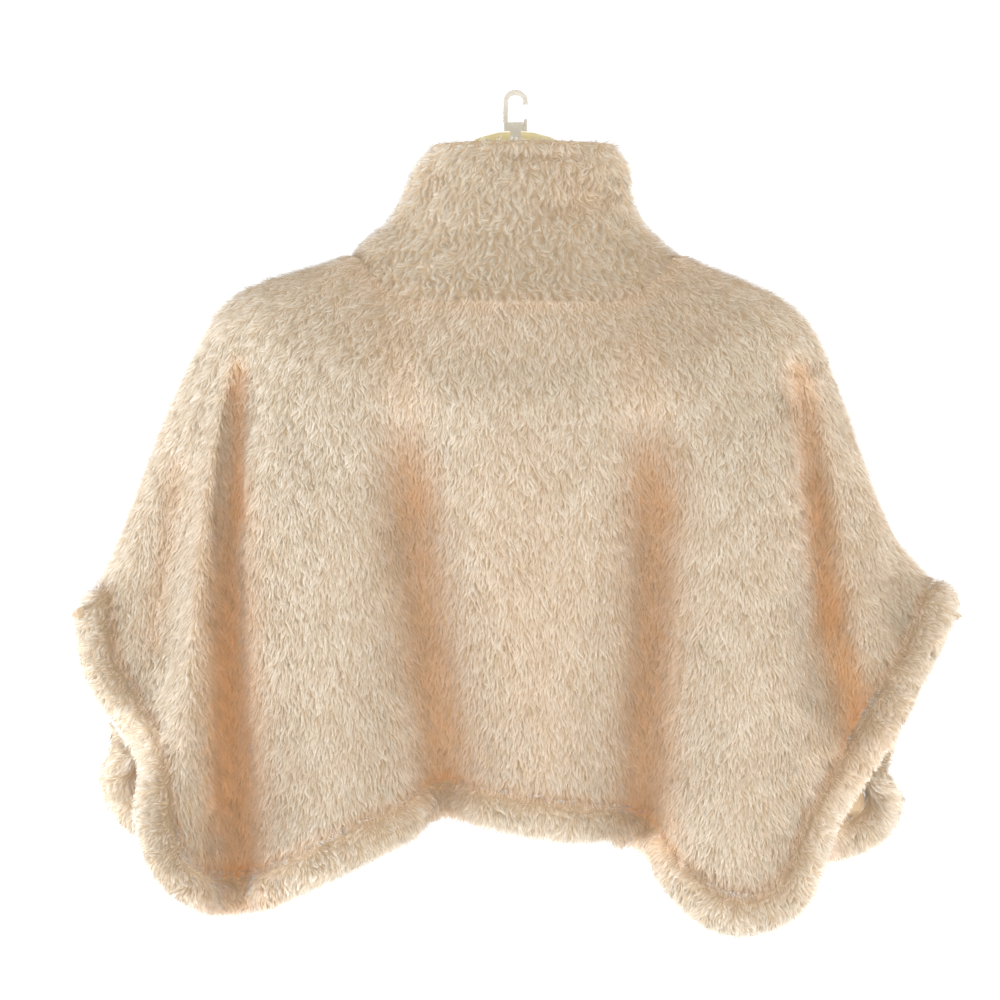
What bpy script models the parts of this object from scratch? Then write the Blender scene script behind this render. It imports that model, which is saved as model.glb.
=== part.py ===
"""Plush blanket cape hanging on a hanger.

The cape is a blanket with a neck hole, folded over the hanger along the shoulder line. It is made of the
pieces a maker would cut: back panel, front panel, funnel collar, and a rolled band round the whole edge in
two strips. The walls are as thick as the plush is, from its knitted backing to the tips of its pile.

The origin is where a rail bears in the hook. X runs to the wearer's right as seen from behind, the back
panel faces -Y and Z is up. Sizes and tables are in millimetres and become metres when a mesh is made.
"""

import math
from collections import namedtuple

import bmesh
import bpy
import numpy as np
from mathutils import Matrix

MM = 0.001
WELD = 0.01

# Plush
PANEL_WALL = 10.0
COLLAR_WALL = 12.0
SEAM_GAP = 0.3

# Sides of the cape, as the sign of Y
BACK = -1.0
FRONT = 1.0

# Neck seam: an oval ring, higher at the shoulders than at the middle of the back and front
NECK_HALF_WIDTH = 151.0
NECK_HALF_DEPTH = 72.0
NECK_SIDE_Z = -146.0
NECK_DROP = 41.0
NECK_DROP_START = 0.30
NECK_DROP_SPAN = 0.55

# Shoulder ring: where the cloth breaks over the hanger and the folds begin
SHOULDER_HALF_WIDTH = 264.0
SHOULDER_HALF_DEPTH = 82.0
SHOULDER_SIDE_Z = -201.0
SHOULDER_DROP = 84.0
SHOULDER_SHIFT = -3.0
SHOULDER_TILT = 4.0
SHOULDER_FULLNESS = 0.8

# Roll of the cloth over the fold line: its radius on the hanger and at the bound edge
SHOULDER_ROLL = 20.0
EDGE_ROLL = 27.0
ROLL_TURNS = (5.0, 10.0)
ROLL_ANGLES = (32.0, 64.0)

# Meshing of the panels
YOKE_ROWS = 3
SKIRT_ROWS = 8
FOLD_STEPS = 3
ROLL_STEPS = 2

# Rolled band
BAND_WIDTH = 39.0
BAND_THICKNESS = 27.0
BAND_SIDES = 10
BAND_GAP = 0.7

# Hanger: a flat bent bar with a round hump at the neck
HUMP_TOP_Z = -32.7
HUMP_RADIUS = 94.0
HUMP_ANGLE = 58.0
HUMP_STEPS = 6
WAIST_X = 117.0
WAIST_Z = -139.0
ARM_STATIONS = (150.0, 180.0, 210.0, 236.0, 250.0)
ARM_CLEARANCE = 3.0
BAR_WIDTH = 24.0
BAR_THICKNESS = 12.0
BAR_ROUNDING = 4.0
BAR_BEND_STEPS = 4
BAR_END_STEPS = 6
BAR_SHARP_ANGLE = 35.0

# Hook: a flat plastic hook on a foot, with a clip over the hump
HOOK_STROKE = 4.6
HOOK_INNER_RADIUS = 6.7
HOOK_THICKNESS = 3.4
HOOK_ROUNDING = 0.8
HOOK_TIP_DROP = 2.0
HOOK_ARC_STEPS = 14
FOOT_TOP_Z = -24.5
FOOT_BOTTOM_Z = -32.4
FOOT_HALF_WIDTH = 10.4
FOOT_TAB_WIDTH = 3.0
FOOT_TAB_HEIGHT = 2.6
CLIP_WIDTH = 9.4
CLIP_WALL = 2.0
CLIP_LENGTH = 9.0
CLIP_BRIDGE = 3.0
CLIP_ROOM_MARGIN = 5.0

# Finishes
PLUSH_COLOUR = (0.75, 0.58, 0.41, 1.0)
HANGER_COLOUR = (0.68, 0.54, 0.24, 1.0)
HOOK_COLOUR = (0.90, 0.90, 0.88, 1.0)
PLUSH_ROUGHNESS = 0.95
HANGER_ROUGHNESS = 0.45
HOOK_ROUGHNESS = 0.3

# One rib runs down each ridge, trough and fold line, from the neck seam to the bound edge. turn is where
# it leaves the neck, in degrees round from the left shoulder, x, y and z are where it meets the band, flare
# is how far it swings sideways there, and tuck is how far the cloth draws in below the shoulder.
Rib = namedtuple("Rib", "name turn x y z flare tuck")

BACK_RIBS = (
    Rib("left_fold", 0.0, -377.0, 0.0, -438.0, -0.05, 0.0),
    Rib("left_flap", 15.0, -353.0, -32.0, -504.0, -0.12, 0.0),
    Rib("ridge_1_outside", 17.5, -326.0, -40.0, -550.0, -0.12, 0.0),
    Rib("ridge_1", 20.0, -305.0, -73.0, -600.0, -0.06, -2.0),
    Rib("left_corner", 22.0, -288.0, -78.0, -673.0, 0.0, -5.0),
    Rib("ridge_1_inside", 23.4, -270.0, -62.0, -690.0, 0.0, -4.0),
    Rib("trough_1_left", 25.4, -257.0, -33.0, -697.0, 0.0, 6.0),
    Rib("trough_1_right", 28.4, -238.0, -33.0, -694.0, 0.0, 6.0),
    Rib("ridge_2_outside", 32.5, -225.0, -60.0, -688.0, 0.0, -3.0),
    Rib("ridge_2", 45.0, -163.0, -84.0, -657.0, 0.0, -2.0),
    Rib("ridge_2_inside", 61.0, -101.0, -64.0, -630.0, 0.0, -2.0),
    Rib("trough_2", 70.0, -67.0, -26.0, -612.0, 0.0, 18.0),
    Rib("ridge_3_left", 80.0, -28.0, -50.0, -619.0, 0.0, -1.0),
    Rib("ridge_3", 95.0, 34.0, -66.0, -628.0, 0.0, 0.0),
    Rib("ridge_3_right", 108.0, 87.0, -50.0, -634.0, 0.0, -1.0),
    Rib("trough_3", 117.0, 116.0, -24.0, -644.0, 0.0, 18.0),
    Rib("ridge_4_inside", 126.0, 141.0, -56.0, -676.0, 0.0, -2.0),
    Rib("ridge_4", 141.0, 187.0, -86.0, -708.0, 0.0, -2.0),
    Rib("right_corner", 149.0, 227.0, -76.0, -701.0, 0.0, -3.0),
    Rib("ridge_4_outside", 154.5, 254.0, -60.0, -648.0, 0.10, -4.0),
    Rib("trough_4", 158.5, 291.0, -32.0, -585.0, 0.15, 5.0),
    Rib("ridge_5", 162.0, 322.0, -44.0, -526.0, 0.20, 2.0),
    Rib("right_flap", 165.0, 347.0, -32.0, -484.0, 0.40, 0.0),
    Rib("right_fold", 180.0, 374.0, 0.0, -432.0, 0.55, 0.0),
)

FRONT_RIBS = (
    Rib("left_fold", 0.0, -377.0, 0.0, -438.0, -0.05, 0.0),
    Rib("left_flap", 15.0, -346.0, 34.0, -508.0, -0.18, 0.0),
    Rib("left_side", 18.5, -338.0, 54.0, -572.0, -0.18, 0.0),
    Rib("left_corner", 22.0, -344.0, 62.0, -626.0, -0.20, -3.0),
    Rib("left_hem", 25.5, -320.0, 54.0, -646.0, -0.10, -3.0),
    Rib("trough_1", 31.0, -264.0, 28.0, -645.0, 0.0, 12.0),
    Rib("ridge_1_left", 40.0, -213.0, 70.0, -641.0, 0.0, -2.0),
    Rib("ridge_1_right", 55.0, -146.0, 74.0, -630.0, 0.0, -2.0),
    Rib("trough_2", 72.0, -77.0, 26.0, -608.0, 0.0, 14.0),
    Rib("ridge_2_left", 83.0, -25.0, 64.0, -617.0, 0.0, -2.0),
    Rib("ridge_2_right", 99.0, 36.0, 66.0, -620.0, 0.0, -2.0),
    Rib("trough_3", 112.0, 95.0, 26.0, -612.0, 0.0, 14.0),
    Rib("ridge_3_left", 124.0, 152.0, 74.0, -631.0, 0.0, -2.0),
    Rib("ridge_3_right", 139.0, 214.0, 72.0, -648.0, 0.0, -2.0),
    Rib("trough_4", 149.0, 256.0, 28.0, -656.0, 0.0, 12.0),
    Rib("right_hem", 155.0, 293.0, 54.0, -656.0, 0.10, -3.0),
    Rib("right_corner", 158.5, 319.0, 62.0, -643.0, 0.20, -3.0),
    Rib("right_side", 161.5, 312.0, 52.0, -584.0, 0.20, 0.0),
    Rib("right_flap", 165.0, 340.0, 34.0, -500.0, 0.40, 0.0),
    Rib("right_fold", 180.0, 374.0, 0.0, -432.0, 0.55, 0.0),
)

# Ribs at which the two strips of band are joined end to end
BACK_BAND_JOIN = "ridge_3_right"
FRONT_BAND_JOIN = "ridge_2_left"

# Levels of the collar above the neck seam: height at the sides, reach to the left and right, half the
# depth, and how far the middle of the back and front dips below the sides.
Level = namedtuple("Level", "z left right half_depth dip")

COLLAR_LEVELS = (
    Level(-131.0, -139.0, 134.0, 66.0, 34.0),
    Level(-111.0, -116.0, 115.0, 60.0, 23.0),
    Level(-89.0, -104.0, 107.0, 56.0, 13.0),
    Level(-67.0, -95.0, 105.0, 53.0, 5.0),
    Level(-47.5, -79.0, 94.0, 50.0, 0.0),
)
RIM_ANGLES = (45.0, 90.0, 135.0)


def smoothstep(value):
    """Ease from 0 to 1 with level ends."""
    value = np.clip(value, 0.0, 1.0)
    return value * value * (3.0 - 2.0 * value)


def unit(vector):
    """Vectors of length one along the last axis."""
    return vector / np.linalg.norm(vector, axis=-1, keepdims=True)


def hermite(start, start_slope, end, end_slope, t):
    """Point on the cubic between two points with the given end slopes."""
    rise = t * t * (3.0 - 2.0 * t)
    leave = t * (1.0 - t) * (1.0 - t)
    arrive = t * t * (t - 1.0)
    return start * (1.0 - rise) + end * rise + start_slope * leave + end_slope * arrive


def smooth_curve(points, steps):
    """Cubic curve through the inner points of a row, which are joined by the given numbers of steps.

    The first and last points of the row only set the slopes at the ends.
    """
    knots = np.concatenate([[0.0], np.cumsum(np.sqrt(np.linalg.norm(np.diff(points, axis=0), axis=1)))])
    gaps = np.diff(knots)
    chords = np.diff(points, axis=0) / gaps[:, None]
    before = gaps[:-1, None]
    after = gaps[1:, None]
    slopes = (chords[:-1] * after + chords[1:] * before) / (before + after)
    curve = []
    for i, count in enumerate(steps):
        span = gaps[i + 1]
        for k in range(count):
            start, end = points[i + 1], points[i + 2]
            curve.append(hermite(start, slopes[i] * span, end, slopes[i + 1] * span, k / count))
    curve.append(points[-2])
    return np.array(curve)


def neck_drop(turn):
    """Share of the drop from the side of the neck to its middle."""
    return smoothstep((math.sin(math.radians(turn)) - NECK_DROP_START) / NECK_DROP_SPAN)


def neck_point(turn, side):
    """Point of the neck seam, on the outside of the plush."""
    angle = math.radians(turn)
    return np.array([
        -NECK_HALF_WIDTH * math.cos(angle),
        side * NECK_HALF_DEPTH * math.sin(angle),
        NECK_SIDE_Z - NECK_DROP * neck_drop(turn),
    ])


def shoulder_point(turn, side):
    """Point of the ring where the cloth breaks over the hanger."""
    angle = math.radians(turn)
    return np.array([
        SHOULDER_SHIFT - SHOULDER_HALF_WIDTH * math.cos(angle),
        side * SHOULDER_HALF_DEPTH * abs(math.sin(angle)) ** SHOULDER_FULLNESS,
        SHOULDER_SIDE_Z - SHOULDER_DROP * math.sin(angle) + SHOULDER_TILT * math.cos(angle),
    ])


def rib_frame(rib, side):
    """Neck, shoulder and edge points of a rib, its direction at the edge, and how the cloth draws in."""
    neck = neck_point(rib.turn, side)
    shoulder = shoulder_point(rib.turn, side)
    edge = np.array([rib.x, rib.y, rib.z])
    heading = unit(unit(edge - shoulder) + np.array([rib.flare, 0.0, 0.0]))
    return neck, shoulder, edge, heading, np.array([0.0, -side * rib.tuck, 0.0])


def rolled(crest, heading, radius, angle, side):
    """Point round the fold from its crest, on a roll of the given radius about the fold line."""
    inward = np.array([-heading[2], 0.0, heading[0]])
    inward *= -np.sign(inward[2])
    bend = math.radians(angle)
    return crest + radius * (inward * (1.0 - math.cos(bend)) + np.array([0.0, side * math.sin(bend), 0.0]))


def roll_frames(crest, side):
    """Ribs that carry the cloth round the fold, from the crest of the fold to its face."""
    neck, shoulder, edge, heading, tuck = rib_frame(crest, side)
    over = unit(edge - neck)
    frames = []
    for turn, angle in zip(ROLL_TURNS, ROLL_ANGLES):
        frames.append((
            neck_point(abs(crest.turn - turn), side),
            rolled(shoulder, over, SHOULDER_ROLL, angle, side),
            rolled(edge, heading, EDGE_ROLL, angle, side),
            heading,
            tuck,
        ))
    return frames


def drawn_in(t):
    """Share of the tuck at a share of the way down, which is full a third of the way down."""
    return 6.75 * t * (1.0 - t) * (1.0 - t)


def rib_line(frame):
    """Points down one rib: over the yoke to the shoulder ring, then down to the edge."""
    neck, shoulder, edge, heading, tuck = frame
    over = unit(edge - neck)
    yoke = np.linalg.norm(shoulder - neck)
    drop = np.linalg.norm(edge - shoulder)
    line = [
        hermite(neck, shoulder - neck, shoulder, over * yoke, row / YOKE_ROWS)
        for row in range(YOKE_ROWS)
    ]
    for row in range(SKIRT_ROWS + 1):
        t = row / SKIRT_ROWS
        line.append(hermite(shoulder, over * drop, edge, heading * drop, t) + tuck * drawn_in(t))
    return line


def panel_grids(ribs, side):
    """Outer and inner points of a panel, in rows down the cape by columns across it, and outer normals."""
    frames = [rib_frame(rib, side) for rib in ribs]
    frames[1:1] = roll_frames(ribs[0], side)
    frames[-1:-1] = reversed(roll_frames(ribs[-1], side))
    lines = np.array([rib_line(frame) for frame in frames])
    rolls = [ROLL_STEPS] * len(ROLL_TURNS)
    steps = rolls + [FOLD_STEPS] * (len(frames) - 1 - 2 * len(rolls)) + rolls
    mirror = np.array([1.0, -1.0, 1.0])
    outer = []
    for row in lines.transpose(1, 0, 2):
        outer.append(smooth_curve(np.vstack([row[1] * mirror, row, row[-2] * mirror]), steps))
    outer = np.array(outer)
    wide = np.concatenate([outer[:, 1:2] * mirror, outer, outer[:, -2:-1] * mirror], axis=1)
    across = np.gradient(wide, axis=1)[:, 1:-1]
    down = np.gradient(outer, axis=0)
    normals = side * unit(np.cross(across, down))
    inner = outer - PANEL_WALL * normals
    for grid in (outer, inner):
        grid[:, 0, 1] = side * SEAM_GAP / 2
        grid[:, -1, 1] = side * SEAM_GAP / 2
    return outer, inner, normals


def rib_column(ribs, name):
    """Column of a panel's grid on which the named rib lies."""
    place = [rib.name for rib in ribs].index(name)
    return ROLL_STEPS * len(ROLL_TURNS) + FOLD_STEPS * place


def grid_faces(rows, columns, first=0, closed=False):
    """Quads between the points of a grid, which joins up with itself across its columns where closed."""
    faces = []
    for row in range(rows - 1):
        for column in range(columns if closed else columns - 1):
            beside = (column + 1) % columns
            near = first + row * columns
            far = near + columns
            faces.append((near + column, near + beside, far + beside, far + column))
    return faces


def triangles(faces):
    """Quads cut along the same diagonal, so that faces on both sides of a seam bend alike."""
    cut = []
    for a, b, c, d in faces:
        cut += [(a, b, c), (a, c, d)]
    return cut


def piece_material(name, colour, roughness):
    """Principled material of one piece."""
    material = bpy.data.materials.new(name)
    material.use_nodes = True
    shader = material.node_tree.nodes["Principled BSDF"]
    shader.inputs["Base Color"].default_value = colour
    shader.inputs["Roughness"].default_value = roughness
    shader.inputs["Metallic"].default_value = 0.0
    material.diffuse_color = colour
    return material


def add_solid(name, points, faces, collection, parent, colour, roughness):
    """Closed mesh of one piece, from points in millimetres, with its faces turned outwards."""
    mesh = bpy.data.meshes.new(name)
    mesh.from_pydata((np.asarray(points) * MM).tolist(), [], faces)
    shape = bmesh.new()
    shape.from_mesh(mesh)
    bmesh.ops.recalc_face_normals(shape, faces=shape.faces)
    shape.to_mesh(mesh)
    shape.free()
    mesh.shade_smooth()
    mesh.materials.append(piece_material(name, colour, roughness))
    solid = bpy.data.objects.new(name, mesh)
    collection.objects.link(solid)
    solid.parent = parent
    return solid


def add_panel(name, outer, inner, collection, parent):
    """Panel wall: outer and inner faces, closed along its four edges."""
    rows, columns = outer.shape[:2]
    size = rows * columns
    points = np.vstack([outer.reshape(-1, 3), inner.reshape(-1, 3)])
    faces = grid_faces(rows, columns) + grid_faces(rows, columns, size)
    index = np.arange(size).reshape(rows, columns)
    for rim in (index[0], index[-1], index[:, 0], index[:, -1]):
        for a, b in zip(rim[:-1].tolist(), rim[1:].tolist()):
            faces.append((a, b, b + size, a + size))
    return add_solid(name, points, triangles(faces), collection, parent, PLUSH_COLOUR, PLUSH_ROUGHNESS)


def loop_of(back, front):
    """One closed row round the cape, from a row of the back and the same row of the front."""
    row = np.vstack([back, front[-2:0:-1]])
    row[0, 1] = 0.0
    row[len(back) - 1, 1] = 0.0
    return row


def collar_ring(level, turns, sides, inset, lift):
    """Ring of the collar at one level, brought in from its outside and lifted by the given amounts."""
    middle = (level.left + level.right) / 2
    half_width = (level.right - level.left) / 2 - inset
    ring = []
    for turn, side in zip(turns, sides):
        angle = math.radians(turn)
        ring.append((
            middle - half_width * math.cos(angle),
            side * (level.half_depth - inset) * math.sin(angle),
            level.z - level.dip * neck_drop(turn) + lift,
        ))
    return np.array(ring)


def add_collar(outer_seam, inner_seam, collection, parent):
    """Funnel collar: a wall that starts on the neck seam and is rounded over at its top."""
    turns = np.degrees(np.arccos(np.clip(-outer_seam[:, 0] / NECK_HALF_WIDTH, -1.0, 1.0)))
    sides = np.sign(outer_seam[:, 1])
    first = COLLAR_LEVELS[0]
    rise = unit(collar_ring(first, turns, sides, 0.0, 0.0) - outer_seam) * SEAM_GAP
    rings = [outer_seam + rise]
    rings += [collar_ring(level, turns, sides, 0.0, 0.0) for level in COLLAR_LEVELS]
    half = COLLAR_WALL / 2
    for angle in RIM_ANGLES:
        bend = math.radians(angle)
        inset = half * (1.0 - math.cos(bend))
        rings.append(collar_ring(COLLAR_LEVELS[-1], turns, sides, inset, half * math.sin(bend)))
    rings += [collar_ring(level, turns, sides, COLLAR_WALL, 0.0) for level in reversed(COLLAR_LEVELS)]
    rings.append(inner_seam + rise)
    columns = len(turns)
    faces = grid_faces(len(rings), columns, closed=True)
    last = (len(rings) - 1) * columns
    for column in range(columns):
        beside = (column + 1) % columns
        faces.append((column, beside, last + beside, last + column))
    points = np.vstack(rings)
    return add_solid("collar", points, triangles(faces), collection, parent, PLUSH_COLOUR, PLUSH_ROUGHNESS)


def band_rings(edge, ahead, normals):
    """Sections of the rolled band, one beside each point of the bound edge, and the way it runs there."""
    run = unit(np.roll(edge, -1, axis=0) - np.roll(edge, 1, axis=0))
    facing = unit(normals - run * np.sum(normals * run, axis=1, keepdims=True))
    out = np.cross(run, facing)
    out *= np.sign(np.sum(out * ahead, axis=1, keepdims=True))
    middle = edge - PANEL_WALL / 2 * facing + (BAND_GAP + BAND_WIDTH / 2) * out
    angles = (np.arange(BAND_SIDES) + 0.5) * 2.0 * math.pi / BAND_SIDES
    reach = BAND_WIDTH / 2 * np.cos(angles) / math.cos(angles[0])
    bulge = BAND_THICKNESS / 2 * np.sin(angles)
    rings = middle[:, None] + reach[:, None] * out[:, None] + bulge[:, None] * facing[:, None]
    return rings, run


def add_band(name, rings, run, collection, parent):
    """One strip of the band, closed by flat ends half a seam gap short of the joins."""
    rings = rings.copy()
    rings[0] += run[0] * SEAM_GAP / 2
    rings[-1] -= run[-1] * SEAM_GAP / 2
    count = len(rings)
    faces = triangles(grid_faces(count, BAND_SIDES, closed=True))
    faces.append(tuple(range(BAND_SIDES)))
    faces.append(tuple(range((count - 1) * BAND_SIDES, count * BAND_SIDES)))
    return add_solid(name, rings.reshape(-1, 3), faces, collection, parent, PLUSH_COLOUR, PLUSH_ROUGHNESS)


def add_outline(name, outline, thickness, rounding, collection):
    """Flat piece standing in the XZ plane: a filled 2D curve of the outline, with rounded edges."""
    curve = bpy.data.curves.new(name, "CURVE")
    curve.dimensions = "2D"
    curve.fill_mode = "BOTH"
    curve.extrude = (thickness / 2 - rounding) * MM
    curve.bevel_depth = rounding * MM
    curve.bevel_resolution = 1
    curve.offset = -rounding * MM
    spline = curve.splines.new("POLY")
    spline.points.add(len(outline) - 1)
    for point, (x, z) in zip(spline.points, outline):
        point.co = (x * MM, z * MM, 0.0, 1.0)
    spline.use_cyclic_u = True
    piece = bpy.data.objects.new(name, curve)
    piece.rotation_euler = (math.pi / 2, 0.0, 0.0)
    collection.objects.link(piece)
    return piece


def as_mesh(piece, collection):
    """Mesh object in place of a curve object, with the loose caps of the curve welded on."""
    bpy.context.view_layer.update()
    evaluated = piece.evaluated_get(bpy.context.evaluated_depsgraph_get())
    mesh = bpy.data.meshes.new_from_object(evaluated)
    shape = bmesh.new()
    shape.from_mesh(mesh)
    bmesh.ops.remove_doubles(shape, verts=shape.verts, dist=WELD * MM)
    bmesh.ops.recalc_face_normals(shape, faces=shape.faces)
    shape.to_mesh(mesh)
    shape.free()
    name = piece.name
    solid = bpy.data.objects.new(name, mesh)
    solid.matrix_world = piece.matrix_world
    bpy.data.objects.remove(piece)
    solid.name = name
    collection.objects.link(solid)
    return solid


def arm_height(fold_lines, x):
    """Height of the hanger's arm at a distance from the middle, just under the cloth on both sides."""
    heights = [np.interp(x, line[:, 0], line[:, 2]) for line in fold_lines]
    return min(heights) - ARM_CLEARANCE


def hanger_outline(fold_lines):
    """Outline of the hanger: the line over its hump and arm, a round end and the line below."""
    top = [
        (HUMP_RADIUS * math.sin(angle), HUMP_TOP_Z - HUMP_RADIUS * (1.0 - math.cos(angle)))
        for angle in np.radians(np.linspace(0.0, HUMP_ANGLE, HUMP_STEPS + 1))
    ]
    top.append((WAIST_X, WAIST_Z))
    top += [(x, arm_height(fold_lines, x)) for x in ARM_STATIONS]
    top = np.array(top)
    mirror = np.array([-1.0, 1.0])
    end = 2.0 * top[-1] - top[-2]
    steps = [1] * HUMP_STEPS + [BAR_BEND_STEPS] * (len(top) - 1 - HUMP_STEPS)
    top = smooth_curve(np.vstack([top[1] * mirror, top, end]), steps)
    slope = unit(np.gradient(top, axis=0))
    below = np.column_stack([slope[:, 1], -slope[:, 0]])
    bottom = top + BAR_WIDTH * below
    tip = []
    for k in range(1, BAR_END_STEPS):
        angle = math.pi * k / BAR_END_STEPS
        across = below[-1] * (1.0 - math.cos(angle))
        tip.append(top[-1] + BAR_WIDTH / 2 * (across + slope[-1] * math.sin(angle)))
    right = np.vstack([top, tip, bottom[::-1]])
    left = right[-2:0:-1] * mirror
    return np.vstack([right, left])


def add_hanger(fold_lines, collection, parent):
    """Hanger body: a flat bar bent to the outline, with rounded edges."""
    bar = add_outline("hanger", hanger_outline(fold_lines), BAR_THICKNESS, BAR_ROUNDING, collection)
    bar = as_mesh(bar, collection)
    bar.data.materials.append(piece_material("hanger", HANGER_COLOUR, HANGER_ROUGHNESS))
    bar.data.shade_smooth()
    bar.data.set_sharp_from_angle(angle=math.radians(BAR_SHARP_ANGLE))
    bar.parent = parent
    return bar


def hook_outline():
    """Outline of the hook: foot, stem and the round bend that the rail goes into."""
    outer = HOOK_INNER_RADIUS + HOOK_STROKE
    middle_z = -HOOK_INNER_RADIUS
    sweep = np.linspace(math.pi, 0.0, HOOK_ARC_STEPS + 1)
    outside = [(outer * math.cos(a), middle_z + outer * math.sin(a)) for a in sweep]
    inner = HOOK_INNER_RADIUS
    inside = [(inner * math.cos(a), middle_z + inner * math.sin(a)) for a in sweep[::-1]]
    tip = middle_z - HOOK_TIP_DROP
    foot = [
        (-HOOK_INNER_RADIUS, FOOT_TOP_Z),
        (FOOT_HALF_WIDTH - FOOT_TAB_WIDTH, FOOT_TOP_Z),
        (FOOT_HALF_WIDTH - FOOT_TAB_WIDTH, FOOT_TOP_Z + FOOT_TAB_HEIGHT),
        (FOOT_HALF_WIDTH, FOOT_TOP_Z + FOOT_TAB_HEIGHT),
        (FOOT_HALF_WIDTH, FOOT_BOTTOM_Z),
        (-FOOT_HALF_WIDTH, FOOT_BOTTOM_Z),
        (-FOOT_HALF_WIDTH, FOOT_TOP_Z),
        (-outer, FOOT_TOP_Z),
    ]
    return outside + [(outer, tip), (HOOK_INNER_RADIUS, tip)] + inside + foot


def add_box(name, low, high, collection):
    """Box between two corners, in millimetres."""
    low = np.array(low) * MM
    high = np.array(high) * MM
    bpy.ops.mesh.primitive_cube_add(size=1.0)
    box = bpy.context.object
    box.name = name
    box.data.transform(Matrix.Translation((low + high) / 2) @ Matrix.Diagonal((*(high - low), 1.0)))
    for owner in list(box.users_collection):
        owner.objects.unlink(box)
    collection.objects.link(box)
    return box


def combine(solid, other, operation):
    """Boolean of two solids, left on the first as a modifier."""
    modifier = solid.modifiers.new(other.name, "BOOLEAN")
    modifier.operation = operation
    modifier.object = other
    other.hide_render = True
    other.display_type = "WIRE"


def add_hook(collection, cutters, parent):
    """Hook with the clip that straddles the hump of the hanger."""
    hook = add_outline("hook", hook_outline(), HOOK_THICKNESS, HOOK_ROUNDING, collection)
    hook = as_mesh(hook, collection)
    slot = BAR_THICKNESS / 2 + SEAM_GAP
    half_width = CLIP_WIDTH / 2
    side = slot + CLIP_WALL
    clip = add_box(
        "clip",
        (-half_width, -side, FOOT_BOTTOM_Z - CLIP_LENGTH),
        (half_width, side, FOOT_BOTTOM_Z + CLIP_BRIDGE),
        cutters,
    )
    room = add_box(
        "hanger_room",
        (-half_width - CLIP_ROOM_MARGIN, -slot, FOOT_BOTTOM_Z - CLIP_LENGTH - CLIP_ROOM_MARGIN),
        (half_width + CLIP_ROOM_MARGIN, slot, FOOT_BOTTOM_Z),
        cutters,
    )
    combine(hook, clip, "UNION")
    combine(hook, room, "DIFFERENCE")
    hook.data.materials.append(piece_material("hook", HOOK_COLOUR, HOOK_ROUGHNESS))
    hook.parent = parent
    return hook


def fold_line(inner, column):
    """Inside of the cloth under one shoulder fold, from the neck out, with X measured from the middle."""
    line = inner[: YOKE_ROWS + 2, column].copy()
    line[:, 0] = np.abs(line[:, 0])
    return line


def main():
    """Build the cape, then the hanger and the hook inside it."""
    for old in list(bpy.data.objects):
        bpy.data.objects.remove(old)
    cape = bpy.data.collections.new("plush_blanket_cape")
    cutters = bpy.data.collections.new("cutters")
    bpy.context.scene.collection.children.link(cape)
    bpy.context.scene.collection.children.link(cutters)
    rail = bpy.data.objects.new("rail_point", None)
    cape.objects.link(rail)

    back_outer, back_inner, back_normals = panel_grids(BACK_RIBS, BACK)
    front_outer, front_inner, front_normals = panel_grids(FRONT_RIBS, FRONT)
    add_panel("back_panel", back_outer, back_inner, cape, rail)
    add_panel("front_panel", front_outer[:, ::-1], front_inner[:, ::-1], cape, rail)
    add_collar(loop_of(back_outer[0], front_outer[0]), loop_of(back_inner[0], front_inner[0]), cape, rail)

    edge = loop_of(back_outer[-1], front_outer[-1])
    before = loop_of(back_outer[-2], front_outer[-2])
    normals = loop_of(back_normals[-1], front_normals[-1])
    rings, run = band_rings(edge, edge - before, normals)
    count = len(rings)
    back_join = rib_column(BACK_RIBS, BACK_BAND_JOIN)
    front_join = count - rib_column(FRONT_RIBS, FRONT_BAND_JOIN)
    right = np.arange(back_join, front_join + 1)
    left = np.arange(front_join, count + back_join + 1) % count
    add_band("right_band", rings[right], run[right], cape, rail)
    add_band("left_band", rings[left], run[left], cape, rail)

    fold_lines = [fold_line(back_inner, 0), fold_line(back_inner, -1)]
    add_hanger(fold_lines, cape, rail)
    add_hook(cape, cutters, rail)


main()
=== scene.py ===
"""Plush blanket cape on a hanger, dressed for the photograph's view.

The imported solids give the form. Each cloth solid is replaced by a thin shell on that form and by the pile
that grows on it: strands that gather into locks, joined into a few meshes. Sizes are in millimetres, in the
frame of the solids, and become metres when a mesh is made.
"""

import logging
import math
from dataclasses import dataclass, field
from enum import Enum
from typing import Any, ClassVar

import bpy
import numpy as np
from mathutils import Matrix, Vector
from mathutils.kdtree import KDTree


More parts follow.
